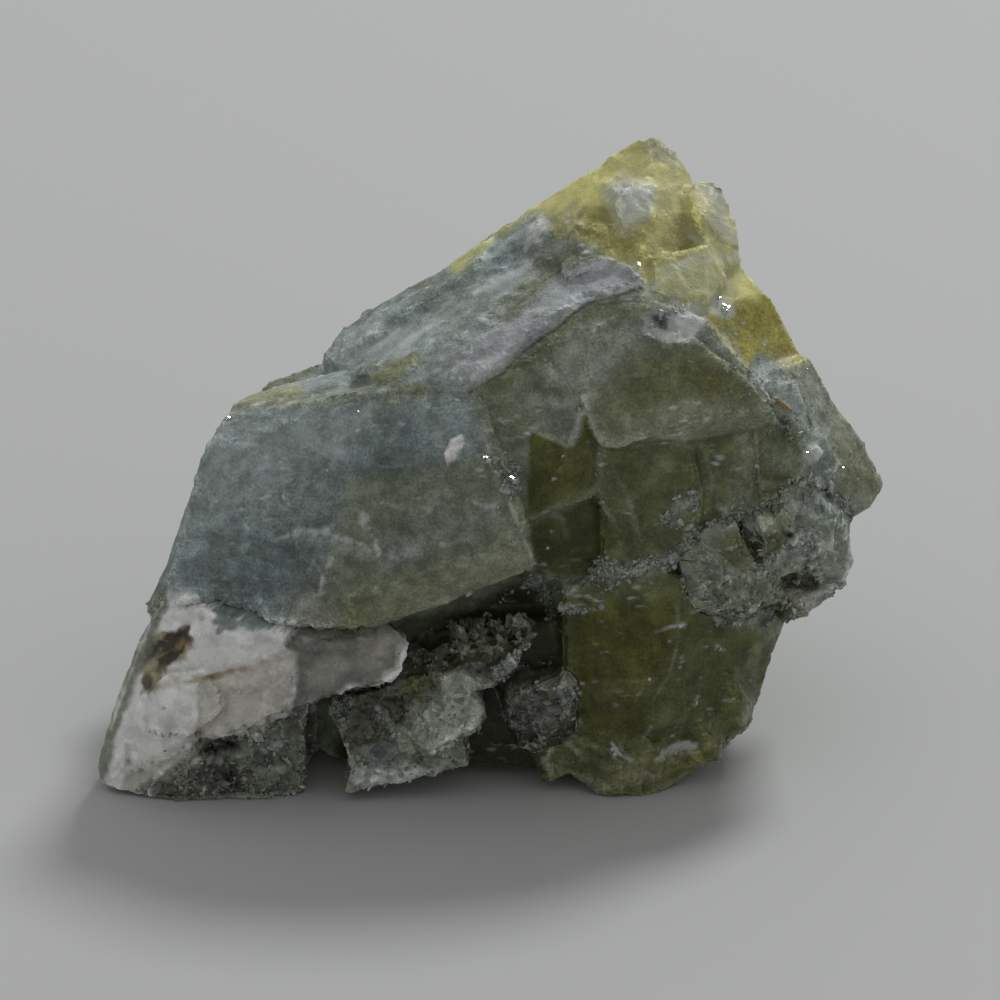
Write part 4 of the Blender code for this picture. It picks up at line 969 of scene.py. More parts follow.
CRUST_MARKS = (
    # painted shade in the cavity between the quartz foot and the crust
    ("hollow", 0.4, 0.55, 12, 8, 0, ((344, 690), (380, 676), (400, 690), (384, 730), (350, 748))),
    ("deep_olive", 0.4, 0.9, 8, 7, 0, ((400, 690), (420, 640), (446, 614), (534, 612), (533, 638),
     (496, 662), (466, 662), (440, 676), (420, 706))),
    ("druse_grey", 0.6, 0.7, 6, 6, 16, ((412, 654), (424, 660))),
    ("druse_light", 0.5, 0.3, 5, 6, 0, ICE_PLATE),
    ("druse_light", 0.5, 0.8, 4, 5, 6, ((436, 748), (452, 740), (464, 730), (478, 722), (486, 706))),
    # painted shade on the sunk small plate
    ("hollow", 0.3, 0.75, 4, 3, 0, SMALL_PLATE),
    ("druse_light", 0.7, 0.95, 3, 4, 4, ((377, 709), (386, 722), (397, 735), (404, 742))),
    ("deep_blue", 0.3, 0.8, 4, 3, 0, BLUE_PLATE),
    ("druse_light", 0.7, 0.7, 3, 3, 3, ((358, 756), (368, 770), (396, 772), (408, 762))),
    ("druse_light", 0.8, 0.82, 4, 4, 0, FOOT_PLATE),
    ("druse_light", 0.7, 0.8, 4, 4, 11, TONGUE),
    ("druse_light", 0.7, 0.9, 3, 3, 6, ((528, 644), (530, 642))),
    # painted shade in the gap under the crust
    ("hollow", 0.4, 0.55, 8, 8, 0, ((480, 660), (600, 660), (600, 790), (480, 790))),
    ("hollow", 0.4, 0.9, 6, 6, 0, ((496, 730), (540, 736), (566, 726), (590, 700), (592, 790), (490, 790))),
    ("druse_light", 0.7, 0.8, 4, 4, 11, TONGUE),
    ("druse_grey", 0.6, 0.8, 5, 6, 14, ((534, 690), (556, 684), (578, 692))),
    ("druse_light", 0.7, 0.8, 4, 4, 6, ((508, 760), (516, 763))),
    ("grey_green", 0.6, 0.6, 10, 8, 0, ((704, 570), (740, 560), (776, 570), (770, 610), (740, 620),
     (706, 600))),
    ("deep_olive", 0.3, 0.85, 5, 6, 0, DARK_CUBE),
    ("druse_light", 0.6, 0.6, 8, 8, 0, ((780, 552), (788, 538), (796, 530), (812, 527), (828, 536),
     (826, 556), (812, 562), (796, 560))),
    ("grey_green", 0.4, 0.8, 10, 6, 0, RIM_PLATE),
    # painted shade in a hollow of the right crust
    ("hollow", 0.3, 0.85, 5, 6, 0, ((782, 582), (790, 573), (806, 572), (818, 578), (822, 590), (806, 592),
     (796, 588), (784, 594))),
    ("deep_olive", 0.3, 0.8, 5, 5, 0, LOW_CUBE),
    ("druse_light", 0.6, 0.5, 8, 6, 14, ((852, 520), (856, 544), (850, 570), (834, 590), (810, 606))),
    # painted shade in pits and pinholes
    ("hollow", 0.3, 1, 4, 4, 0, PIT),
    ("hollow", 0.3, 0.9, 4, 4, 0, SMALL_PIT),
    ("hollow", 0.3, 0.8, 4, 3, 3, ((794, 566), (812, 560), (816, 558))),
    ("hollow", 0.3, 1, 3, 1, 4, PINHOLE),
    ("hollow", 0.3, 1, 3, 1, 3, ((803, 532), (805, 532))),
    ("beige", 0.6, 0.4, 6, 5, 0, ((790, 592), (808, 596), (820, 598), (812, 612), (796, 616))),
    ("veil", 0.6, 0.7, 3, 3, 5, ((812, 596), (820, 593))),
    ("grey_green", 0.7, 0.8, 6, 8, 0, ((740, 470), (880, 470), (872, 524), (846, 530), (812, 526),
     (790, 530), (760, 524))),
    ("slope_grey", 0.8, 0.5, 8, 8, 0, ((790, 500), (830, 484), (864, 500), (866, 524), (840, 528),
     (806, 520))),
    ("grey_green", 0.5, 0.6, 6, 5, 14, ((720, 532), (706, 552), (700, 580), (706, 600))),
    # painted highlight on the crust's bottom rim, which faces up to the lamp
    ("veil", 0.6, 0.8, 3, 4, 6, ((360, 780), (370, 784), (384, 778))),
    ("druse_grey", 0.5, 0.6, 6, 8, 0, ((330, 690), (346, 682), (352, 700), (350, 722), (336, 724))),
    ("druse_grey", 0.5, 0.5, 6, 8, 12, HOLLOW_BAND),
    # painted shade over the hollow behind the front crust
    ("hollow", 0.4, 0.45, 10, 8, 0, ((330, 680), (400, 640), (480, 600), (560, 600), (600, 700), (560, 790),
     (480, 760), (490, 680), (440, 668), (404, 730), (350, 752))),
    ("hollow", 0.4, 0.78, 6, 6, 0, ((494, 716), (506, 700), (528, 688), (562, 680), (584, 690), (578, 706),
     (540, 736), (500, 736))),
    ("druse_light", 0.5, 0.7, 3, 4, 4, ((496, 674), (508, 662), (520, 652), (530, 644))),
    ("druse_light", 0.5, 0.35, 8, 6, 0, ((812, 534), (852, 528), (858, 556), (846, 578), (824, 572))),
    # painted shade in the gaps of the crust
    ("hollow", 0.3, 0.35, 6, 6, 0, ((500, 690), (580, 690), (580, 730), (500, 730))),
    ("deep_olive", 0.4, 0.25, 10, 8, 0, ((706, 580), (776, 580), (776, 618), (720, 622))),
    ("hollow", 0.3, 0.9, 5, 5, 0, ((500, 616), (526, 616), (528, 640), (512, 652), (500, 644))),
)
# where small crystals stand up in rims and patches: width, path
LACE = (
    (7, ((716, 512), (734, 525), (751, 533), (762, 531), (769, 523), (774, 516))),
    (7, ((753, 568), (769, 559), (782, 551), (790, 545))),
    (5, ((762, 580), (777, 572), (788, 567), (802, 565), (813, 572), (820, 582))),
    (0, ((782, 552), (788, 538), (796, 530), (812, 527), (824, 534), (822, 552), (808, 560))),
    (7, ((704, 595), (712, 606), (720, 616), (728, 624), (738, 620), (750, 612))),
    (5, ((768, 616), (772, 605), (778, 594), (776, 584))),
    (5, ((790, 592), (796, 606), (806, 612))),
    (4, ((826, 596), (838, 588), (846, 578), (854, 566))),
    (5, ((724, 584), (736, 576), (748, 580), (756, 590), (750, 602))),
    (14, ((496, 674), (512, 664), (526, 654), (531, 645))),
    (0, ((494, 716), (506, 700), (528, 688), (540, 682), (562, 680), (580, 690), (578, 706), (560, 722),
     (540, 732), (516, 730), (500, 728))),
    (9, ((406, 652), (416, 650), (421, 660))),
    (4, ((376, 712), (388, 726), (398, 735), (406, 744))),
    (4, ((443, 674), (465, 667), (484, 676), (493, 684), (488, 706), (480, 724), (462, 737), (456, 746),
     (431, 755))),
    (16, ((338, 690), (344, 718))),
    (5, ((350, 762), (362, 782), (384, 783), (410, 778), (440, 768))),
    (10, HOLLOW_BAND),
    (6, ((686, 560), (688, 546), (703, 533), (737, 522), (754, 514), (772, 508), (792, 490), (820, 488),
     (842, 508))),
    (6, ((686, 570), (698, 598), (722, 614), (755, 610), (776, 606))),
)
SMOOTH_PLATES = (
    (0, ICE_PLATE),
    (0, FOOT_PLATE),
    (0, SMALL_PLATE),
    (0, BLUE_PLATE),
    (0, RIM_PLATE),
    (0, DARK_CUBE),
    (0, LOW_CUBE),
)
# height in millimetres, softness, raggedness, width, path
CRUST_RELIEF = (
    (-0.5, 7, 4, 0, SMALL_PLATE),
    (-0.4, 7, 4, 0, BLUE_PLATE),
    (-0.8, 12, 5, 0, ((420, 640), (446, 614), (534, 612), (533, 634), (496, 658), (466, 658), (440, 670))),
    (0.3, 7, 5, 0, ICE_PLATE),
    (0.3, 7, 4, 12, TONGUE),
    (-0.8, 7, 4, 0, PIT),
    (-0.6, 7, 4, 0, SMALL_PIT),
    (-0.5, 5, 1, 4, PINHOLE),
    (-0.6, 10, 5, 0, DARK_CUBE),
    (-0.5, 8, 4, 0, LOW_CUBE),
)


# height in millimetres, softness, raggedness, width, path
FLUORITE_RELIEF = (
    (0.75, 44, 4, 14, ((140, 616), (160, 598), (205, 596), (250, 616), (300, 620), (340, 626))),
    (0.3, 3, 5, 0, ((466, 389), (482, 379), (500, 368), (511, 355), (527, 341), (540, 332), (554, 323),
     (572, 307), (583, 299), (608, 294), (626, 288), (642, 282), (634, 268), (600, 258), (566, 262),
     (540, 290), (500, 322), (470, 348), (450, 374))),
    (0.35, 4, 5, 0, ((222, 412), (260, 394), (330, 376), (380, 366), (340, 390), (260, 408))),
    (0.3, 5, 5, 0, ((400, 380), (440, 356), (500, 316), (540, 276), (500, 300), (430, 330))),
    (0.3, 5, 5, 0, ((350, 352), (380, 330), (440, 300), (480, 270), (430, 290), (370, 318))),
    (-0.35, 12, 8, 0, ((486, 272), (494, 256), (512, 246), (526, 250), (518, 264))),
    (0.3, 10, 8, 0, ((524, 252), (530, 236), (540, 222), (550, 230), (540, 250))),
    (0.35, 14, 8, 0, ((606, 186), (622, 186), (652, 192), (648, 212), (630, 226), (614, 210))),
    (-0.4, 8, 6, 10, ((654, 321), (666, 328))),
    (0.4, 5, 4, 5, ((642, 336), (664, 346), (690, 346))),
    (0.5, 4, 2, 0, WHITE_CHIP),
    (-0.45, 12, 3, 0, ((754, 452), (762, 436), (778, 430), (796, 436), (802, 456), (794, 476), (776, 484),
     (760, 474))),
    (0.4, 4, 3, 0, RUST_CHIP),
    (0.4, 4, 3, 0, ((801, 450), (812, 445), (821, 452), (815, 462))),
    (-0.5, 5, 4, 5, ((700, 338), (745, 374), (771, 404), (798, 440))),
    (0.35, 4, 5, 0, ((586, 580), (600, 557), (640, 560), (684, 546), (720, 536), (690, 562), (640, 574))),
    (0.3, 4, 5, 0, ((662, 520), (674, 498), (697, 492), (690, 508))),
    (0.3, 4, 3, 6, ((582, 398), (588, 422), (602, 444), (616, 446), (645, 436), (689, 440))),
)
QUARTZ_RELIEF = (
    (-0.55, 30, 4, 4, ((136, 622), (160, 600), (205, 598), (250, 618), (300, 622), (350, 628))),
    (0.3, 6, 5, 0, ((150, 668), (158, 640), (184, 628), (240, 626), (292, 621), (299, 640), (278, 655),
     (230, 665), (178, 674))),
    (0.25, 6, 5, 0, ((200, 688), (264, 672), (296, 660), (301, 690), (290, 704), (262, 724), (236, 728),
     (206, 738), (202, 710))),
    (0.3, 10, 5, 50, ((167, 716), (171, 712))),
    (0.35, 26, 2, 30, ((166, 712), (167, 712))),
    (0.25, 12, 7, 22, ((112, 758), (118, 752))),
    (-0.25, 6, 5, 0, ((312, 654), (372, 648), (384, 664), (340, 690), (314, 694))),
    (-1.0, 8, 5, 0, ((194, 745), (206, 742), (230, 738), (237, 735), (237, 750), (215, 754), (198, 753))),
    (-0.8, 8, 5, 0, ((216, 787), (218, 772), (230, 767), (240, 772), (241, 790))),
    (-0.4, 8, 6, 0, ((146, 676), (150, 652), (160, 632), (190, 634), (184, 650), (165, 676))),
    (-0.25, 4, 3, 3, ((187, 680), (215, 676), (250, 668), (286, 655))),
    (-0.45, 4, 6, 0, SPARKLING_FOOT),
)
# where lumps, small points and crumbled stone go: width, path
QUARTZ_RIMS = (
    (12, ((200, 744), (240, 730), (264, 724), (300, 708), (340, 690), (392, 676), (410, 650))),
    (16, ((140, 772), (180, 780), (230, 782), (290, 775))),
)
DRUSE_STRIPS = (
    (0, LONG_DRUSE),
    (0, UPPER_DRUSE),
    (6, LOW_DRUSE),
    (0, POCKET_DRUSE),
    (8, ((430, 636), (480, 610), (530, 580), (560, 590))),
    (10, ((545, 590), (556, 640), (548, 670))),
    (8, ((646, 336), (664, 314), (692, 312))),
    (7, ((680, 566), (682, 543), (700, 528), (737, 517), (752, 508), (770, 500), (791, 482), (820, 480),
     (848, 504))),
    (7, ((680, 570), (692, 602), (718, 621), (755, 619), (781, 614))),
)
VEIN_SPARKS = ((130, 770), (200, 740), (260, 722), (320, 700), (400, 660))
# outlines of areas
FOOT = ((128, 802), (165, 766), (200, 745), (240, 733), (318, 704), (318, 802))
SPECKLED = ((700, 330), (760, 380), (806, 366), (880, 480), (860, 520), (800, 520), (720, 520), (700, 440),
    (760, 420))
CRUMBLED_BASE = ((560, 730), (600, 742), (650, 735), (700, 735), (757, 700), (757, 730), (690, 770),
    (634, 805), (590, 790), (545, 775))
# colour and path of the dark lines between the quartz and the stone
SEAMS = (
    ("thin_quartz", ((312, 629), (345, 632), (404, 618))),
    ("deep_blue", ((224, 606), (262, 612), (296, 618))),
)
# the rims of hollows in the solid that are filled flush
HOLLOWS = (
    ((473, 379), (501, 364), (510, 378), (486, 390)),
    ((501, 364), (535, 341), (544, 358), (510, 378)),
    ((535, 341), (569, 319), (574, 337), (544, 358)),
    ((569, 319), (597, 299), (606, 316), (574, 337)),
    ((597, 299), (614, 287), (627, 306), (606, 316)),
    ((543, 357), (583, 320), (597, 330), (591, 396), (568, 394)),
    ((631, 284), (650, 279), (657, 296), (640, 301)),
)
# how many flakes at each place, their size in millimetres, and the places
FLUORITE_GLINTS = (
    (7, 0.4, ((215, 604), (208, 610))),
    (3, 0.34, ((205, 617), (487, 458), (508, 478), (622, 190), (645, 196), (720, 307))),
    (1, 0.26, ((716, 300), (726, 306), (640, 268), (548, 545), (553, 530), (563, 455), (580, 410),
     (678, 495), (690, 500), (666, 512), (700, 553), (668, 560), (612, 570), (735, 517), (746, 530),
     (765, 533), (695, 701), (718, 647), (660, 628), (678, 625), (648, 677), (616, 752), (675, 750),
     (612, 747), (360, 412), (300, 531), (345, 540), (374, 535), (232, 420), (268, 452), (330, 470),
     (500, 508), (545, 585), (530, 590), (786, 494), (806, 452), (840, 470), (794, 512), (810, 520))),
)
QUARTZ_GLINTS = (
    (3, 0.36, ((294, 677),)),
    (1, 0.26, ((205, 618), (166, 706), (258, 740), (275, 752), (282, 742), (290, 758), (270, 765),
     (240, 690))),
)
CRUST_GLINTS = (
    (3, 0.34, ((398, 734), (735, 621), (728, 579))),
    (1, 0.28, ((420, 720), (424, 722), (457, 712), (466, 744), (422, 650), (510, 655), (515, 650),
     (528, 644), (540, 684), (570, 690), (556, 686), (565, 700), (727, 599), (755, 593), (745, 585),
     (762, 572), (775, 556), (800, 545), (815, 560), (790, 602), (455, 716), (384, 780), (370, 785))),
)
# each crust and how many points stand on it
CRUSTS = (("quartz_crust_front", 1200), ("quartz_crust_right", 1000), ("quartz_crust_hollow", 260))


# ---- materials ----


def new_group(name, inputs, outputs):
    """An empty shader node group with these inputs (name, kind, default) and outputs (name, kind)."""
    tree = bpy.data.node_groups.new(name, "ShaderNodeTree")
    for label, kind, default in inputs:
        socket = tree.interface.new_socket(label, in_out="INPUT", socket_type=kind)
        if default is not None:
            socket.default_value = default
    for label, kind in outputs:
        tree.interface.new_socket(label, in_out="OUTPUT", socket_type=kind)
    return tree, tree.nodes.new("NodeGroupInput"), tree.nodes.new("NodeGroupOutput")


def add_node(tree, kind, settings=(), values=(), links=()):
    """A node with its settings, its plain socket values, and links into its sockets."""
    made = tree.nodes.new(kind)
    for key, value in settings:
        setattr(made, key, value)
    for key, value in values:
        made.inputs[key].default_value = value
    for key, source in links:
        tree.links.new(source, made.inputs[key])
    return made


def noise_node(tree, place, scale, detail=4.0, rough=0.55, warp=0.0):
    values = (("Scale", scale), ("Detail", detail), ("Roughness", rough), ("Distortion", warp))
    return add_node(tree, "ShaderNodeTexNoise", values=values, links=(("Vector", place),)).outputs["Fac"]


def ramp(tree, source, low, high, to_low=0.0, to_high=1.0):
    """Stretches the values between low and high, and clips the rest."""
    values = (("From Min", low), ("From Max", high), ("To Min", to_low), ("To Max", to_high))
    links = (("Value", source),)
    return add_node(tree, "ShaderNodeMapRange", (("clamp", True),), values, links).outputs["Result"]


def sums(tree, kind, first, second):
    made = add_node(tree, "ShaderNodeMath", (("operation", kind),))
    for place, value in enumerate((first, second)):
        if isinstance(value, (int, float)):
            made.inputs[place].default_value = value
        else:
            tree.links.new(value, made.inputs[place])
    return made.outputs[0]


def mixed(tree, amount, first, second, blend="MIX"):
    """The first colour mixed towards the second by this amount."""
    made = add_node(tree, "ShaderNodeMix", (("data_type", "RGBA"), ("blend_type", blend)))
    for place, value in ((0, amount), (6, first), (7, second)):
        if hasattr(value, "is_linked"):
            tree.links.new(value, made.inputs[place])
        elif isinstance(value, (int, float)):
            made.inputs[place].default_value = value
        else:
            made.inputs[place].default_value = (*value, 1)
    return made.outputs[2]


def times(tree, colour, factors):
    """The colour with its red, green and blue multiplied by these factors."""
    return mixed(tree, 1.0, colour, factors, "MULTIPLY")


def uneven(tree, amount, colour, spread):
    """The colour, darker where the amount is 0 and lighter where it is 1, by this share of itself."""
    dark = times(tree, colour, (1 - spread,) * 3)
    light = times(tree, colour, (1 + spread,) * 3)
    return mixed(tree, amount, dark, light)


def grain_group():
    """Sugary grain: a fine uneven value for colour, and the same for bumps."""
    tree, inside, outside = new_group(
        "sugary_grain", (("Vector", "NodeSocketVector", None),),
        (("Fine", "NodeSocketFloat"), ("Coarse", "NodeSocketFloat")),
    )
    place = inside.outputs["Vector"]
    tree.links.new(noise_node(tree, place, 5200, 2, 0.6), outside.inputs["Fine"])
    tree.links.new(noise_node(tree, place, 900, 3, 0.6), outside.inputs["Coarse"])


def fleck_group():
    """Small white crushed flecks, some drawn out along the slope."""
    tree, inside, outside = new_group(
        "white_flecks", (("Vector", "NodeSocketVector", None), ("Size", "NodeSocketFloat", 0.5)),
        (("Mask", "NodeSocketFloat"),),
    )
    turned = add_node(
        tree, "ShaderNodeMapping",
        values=(("Rotation", (0.2, math.radians(38), 0.3)), ("Scale", (0.45, 1, 1.2))),
        links=(("Vector", inside.outputs["Vector"]),),
    ).outputs[0]
    cells = add_node(
        tree, "ShaderNodeTexVoronoi", values=(("Scale", 1500), ("Randomness", 1)),
        links=(("Vector", turned),),
    )
    spot = ramp(tree, cells.outputs["Distance"], 0.42, 0.16)
    patches = ramp(tree, noise_node(tree, turned, 420, 2, 0.6), 0.52, 0.68)
    chosen = ramp(tree, noise_node(tree, turned, 1700, 1, 0.5), 0.5, 0.62)
    mask = sums(tree, "MULTIPLY", sums(tree, "MULTIPLY", spot, patches), chosen)
    tree.links.new(sums(tree, "MULTIPLY", mask, inside.outputs["Size"]), outside.inputs["Mask"])


def cloud_group():
    """Soft veils inside the stone, in streaks and in clouds."""
    tree, inside, outside = new_group(
        "inner_veils", (("Vector", "NodeSocketVector", None),),
        (("Streaks", "NodeSocketFloat"), ("Clouds", "NodeSocketFloat")),
    )
    turned = add_node(
        tree, "ShaderNodeMapping",
        values=(("Rotation", (0.1, math.radians(33), 0.0)), ("Scale", (0.3, 0.8, 1.3))),
        links=(("Vector", inside.outputs["Vector"]),),
    ).outputs[0]
    tree.links.new(noise_node(tree, turned, 520, 3, 0.65, 1.2), outside.inputs["Streaks"])
    tree.links.new(noise_node(tree, inside.outputs["Vector"], 240, 3, 0.6, 0.8), outside.inputs["Clouds"])


def faces_group():
    """Small flat crystal faces: a painted light for each, its tilt as a height, and the joints between them.
    """
    tree, inside, outside = new_group(
        "crystal_faces", (("Vector", "NodeSocketVector", None), ("Scale", "NodeSocketFloat", 1500)),
        (("Facet_light", "NodeSocketFloat"), ("Height", "NodeSocketFloat"), ("Joint", "NodeSocketFloat")),
    )
    place, scale = inside.outputs["Vector"], inside.outputs["Scale"]
    cells = add_node(tree, "ShaderNodeTexVoronoi", links=(("Vector", place), ("Scale", scale)))
    offset = add_node(tree, "ShaderNodeVectorMath", (("operation", "SUBTRACT"),))
    tree.links.new(place, offset.inputs[0])
    tree.links.new(cells.outputs["Position"], offset.inputs[1])
    tilt = add_node(tree, "ShaderNodeVectorMath", (("operation", "SUBTRACT"),))
    tree.links.new(cells.outputs["Color"], tilt.inputs[0])
    tilt.inputs[1].default_value = (0.5, 0.5, 0.5)
    slope = add_node(tree, "ShaderNodeVectorMath", (("operation", "DOT_PRODUCT"),))
    tree.links.new(offset.outputs[0], slope.inputs[0])
    tree.links.new(tilt.outputs[0], slope.inputs[1])
    tree.links.new(sums(tree, "MULTIPLY", slope.outputs["Value"], scale), outside.inputs["Height"])
    split = add_node(tree, "ShaderNodeSeparateColor", links=(("Color", cells.outputs["Color"]),))
    tree.links.new(split.outputs[0], outside.inputs["Facet_light"])
    rims = add_node(
        tree, "ShaderNodeTexVoronoi", (("feature", "DISTANCE_TO_EDGE"),),
        links=(("Vector", place), ("Scale", scale)),
    )
    tree.links.new(ramp(tree, rims.outputs["Distance"], 0.07, 0.0), outside.inputs["Joint"])


def group_node(tree, name, place):
    made = tree.nodes.new("ShaderNodeGroup")
    made.node_tree = bpy.data.node_groups[name]
    tree.links.new(place, made.inputs["Vector"])
    return made


def painted_value(tree, name, output="Fac"):
    """What is painted on the mesh under this name."""
    return add_node(tree, "ShaderNodeAttribute", (("attribute_name", name),)).outputs[output]


def veiled(tree, place, tint, frost, calm, veils):
    """The painted colour with dark clouds and light streaks inside the stone."""
    cloud = group_node(tree, "inner_veils", place)
    streaks, clouds = cloud.outputs["Streaks"], cloud.outputs["Clouds"]
    light = times(tree, tint, VEIL_SHADE)
    dark = times(tree, tint, CLOUD_SHADE)
    cloudy = sums(tree, "MULTIPLY", ramp(tree, clouds, 0.56, 0.40, 0, veils), calm)
    veil = sums(tree, "MULTIPLY", ramp(tree, streaks, 0.52, 0.72, 0, veils), frost)
    return mixed(tree, sums(tree, "MULTIPLY", veil, calm), mixed(tree, cloudy, tint, dark), light)


def faceted(tree, place, coarse, colour, height, faces, scale):
    """Small crystal faces in the colour and the height: a painted light on each face, a painted highlight on
    some joints.
    """
    crystal = group_node(tree, "crystal_faces", place)
    crystal.inputs["Scale"].default_value = scale
    facet_lit = uneven(tree, crystal.outputs["Facet_light"], colour, faces)
    rims = sums(tree, "MULTIPLY", crystal.outputs["Joint"], ramp(tree, coarse, 0.45, 0.6, 0, faces))
    colour = mixed(tree, rims, facet_lit, times(tree, facet_lit, JOINT_HIGHLIGHT))
    tilted = sums(tree, "MULTIPLY", crystal.outputs["Height"], faces * FACE_TILT / scale)
    return colour, sums(tree, "ADD", height, tilted)


def flecked(tree, place, colour, frost, flecks):
    """The colour with white flecks, most of them where the stone is frosted."""
    speck = group_node(tree, "white_flecks", place)
    speck.inputs["Size"].default_value = flecks
    fleck = sums(tree, "MULTIPLY", speck.outputs["Mask"], ramp(tree, frost, 0, 1, 0.35, 1))
    return mixed(tree, fleck, colour, colour_of("veil"))


def stone_material(name, grain, flecks, veils, gloss, bump, wear, transmission, ior, shine=0.5,
                   faces=0, face_scale=1500, absorption=None):
    """One stone finish. The numbers say how strong each effect is."""
    material = bpy.data.materials.new(name)
    material.use_nodes = True
    tree = material.node_tree
    shader = tree.nodes["Principled BSDF"]
    place = add_node(tree, "ShaderNodeTexCoord").outputs["Object"]
    tint = painted_value(tree, "tint", "Color")
    frost = painted_value(tree, "frost")
    edge = painted_value(tree, "edge")
    sugar = group_node(tree, "sugary_grain", place)
    fine, coarse = sugar.outputs["Fine"], sugar.outputs["Coarse"]
    paleness = add_node(tree, "ShaderNodeRGBToBW", links=(("Color", tint),)).outputs[0]
    calm = ramp(tree, paleness, 0.4, 0.6, 1, 0.3)
    colour = veiled(tree, place, tint, frost, calm, veils)
    grains = ramp(tree, sums(tree, "ADD", fine, coarse), 0.85, 1.2, -0.5, 0.5)
    speckle = sums(tree, "ADD", sums(tree, "MULTIPLY", grains, calm), 0.5)
    colour = uneven(tree, speckle, colour, grain)
    height = sums(tree, "ADD", sums(tree, "MULTIPLY", fine, frost), sums(tree, "MULTIPLY", coarse, 2.0))
    if faces:
        colour, height = faceted(tree, place, coarse, colour, height, faces, face_scale)
    colour = flecked(tree, place, colour, frost, flecks)
    worn = sums(tree, "MULTIPLY", edge, ramp(tree, fine, 0.3, 0.6, 0, wear))
    colour = mixed(tree, worn, colour, times(tree, colour, WORN_SHADE))
    tree.links.new(colour, shader.inputs["Base Color"])
    matte = ramp(tree, frost, 0, 1, gloss, MATTE_ROUGHNESS)
    rough = sums(tree, "ADD", matte, ramp(tree, coarse, 0.3, 0.7, -0.06, 0.08))
    tree.links.new(rough, shader.inputs["Roughness"])
    bumped = add_node(
        tree, "ShaderNodeBump", values=(("Strength", bump), ("Distance", BUMP_DEPTH)),
        links=(("Height", height),),
    )
    tree.links.new(bumped.outputs["Normal"], shader.inputs["Normal"])
    shader.inputs["Transmission Weight"].default_value = transmission
    shader.inputs["IOR"].default_value = ior
    shader.inputs["Specular IOR Level"].default_value = shine
    if absorption:
        soaked_colour, density = absorption
        values = (("Color", (*soaked_colour, 1)), ("Density", density))
        soaked = add_node(tree, "ShaderNodeVolumeAbsorption", values=values)
        tree.links.new(soaked.outputs[0], tree.nodes["Material Output"].inputs["Volume"])
    return material


FINISHES = {
    "frosted_fluorite": dict(
        grain=0.3, flecks=1.4, veils=0.9, gloss=0.18, bump=0.5, wear=0.8, transmission=0.28,
        ior=FLUORITE_IOR, shine=0.22, absorption=((0.62, 0.66, 0.34), 70),
    ),
    "milky_quartz": dict(
        grain=0.14, flecks=0.4, veils=0.4, gloss=0.25, bump=0.5, wear=0.3, transmission=0.08,
        ior=QUARTZ_IOR, faces=0.10, face_scale=1300,
    ),
    "sparkling_quartz": dict(
        grain=0.2, flecks=0.5, veils=0.5, gloss=0.12, bump=0.6, wear=0.9, transmission=0.22,
        ior=QUARTZ_IOR, faces=0.42, face_scale=1250,
    ),
    "clear_quartz_points": dict(
        grain=0.12, flecks=0.2, veils=0.4, gloss=0.05, bump=0.06, wear=0, transmission=0.4,
        ior=QUARTZ_IOR, shine=1.0,
    ),
}


made_finishes = {}


def finish(name):
    """The material of this finish, made the first time that it is asked for."""
    if name not in made_finishes:
        made_finishes[name] = stone_material(name, **FINISHES[name])
    return made_finishes[name]


# ---- building ----


def colour_mesh(mesh, tint, frost, edge):
    """Writes the painted colour, the frosting and the edge wear into the mesh."""
    count = len(mesh.vertices)
    rgba = np.ones((count, 4), np.float32)
    rgba[:, :3] = np.clip(tint, 0, 1)
    mesh.attributes.new("tint", "FLOAT_COLOR", "POINT").data.foreach_set("color", rgba.ravel())
    for key, values in (("frost", frost), ("edge", edge)):
        filled = np.clip(np.broadcast_to(values, count), 0, 1).astype(np.float32)
        mesh.attributes.new(key, "FLOAT", "POINT").data.foreach_set("value", filled)


def dress(name, skin, tint, frost, finish_name, node):
    """Makes the piece from its skin, with its colours, and hides the solid that it stands for."""
    edge = skin.edge_wear()
    made = object_from(name, skin.shape)
    colour_mesh(made.data, tint, frost, edge)
    made.data.shade_smooth()
    made.data.set_sharp_from_angle(angle=SMOOTH_ANGLE)
    made.data.materials.append(finish(finish_name))
    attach(made, "root")
    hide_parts(node)


def blend(tint, frost, mask, name, frosted):
    """Changes the colours and the frosting towards these where the mask is 1."""
    tint += mask[:, None] * (colour_of(name) - tint)
    frost += mask * (frosted - frost)


def painted(skin, tint, frost, layers):
    """Lays the marks over each other, each with its colour and how frosted it leaves the stone."""
    for name, frosted, strength, soft, ragged, width, path in layers:
        blend(tint, frost, skin.mark(path, width, soft, ragged) * strength, name, frosted)


def laid_behind(skin, tint, frost, patches):
    """Lays patches (colour, frost, strength) over what faces away from the sheet."""
    for name, frosted, strength in patches:
        blend(tint, frost, strength * (1 - skin.facing), name, frosted)


def hidden_quartz(skin, tint, frost):
    """Colours the quartz away from the sheet: beige and grey blocks, with grey druse towards the foot."""
    z = skin.points[:, 2] / MM
    shades = skin.cobbles(3.5 * MM, 77)[1]
    laid_behind(skin, tint, frost, (
        ("beige", 0.6, np.clip(skin.waves(5 * MM, 71) * 2.5 + 0.3, 0, 1) * 0.8),
        ("milky_grey", 0.5, np.clip(shades * 3 - 1.6, 0, 1) * 0.7),
        ("thin_quartz", 0.5, np.clip(skin.waves(4 * MM, 72) * 4 - 0.8, 0, 1) * 0.8),
        ("druse_grey", 0.7, np.clip((7 - z) / 4 + skin.waves(2.6 * MM, 73) * 2, 0, 1) * 0.9),
        ("ochre", 0.8, np.clip(skin.waves(2.2 * MM, 74) * 4 - 1.8, 0, 1) * 0.7),
        ("veil", 0.8, np.clip(skin.streaks(6 * MM, 0.8 * MM, 60, 75) * 3 - 1, 0, 1) * 0.6),
    ))


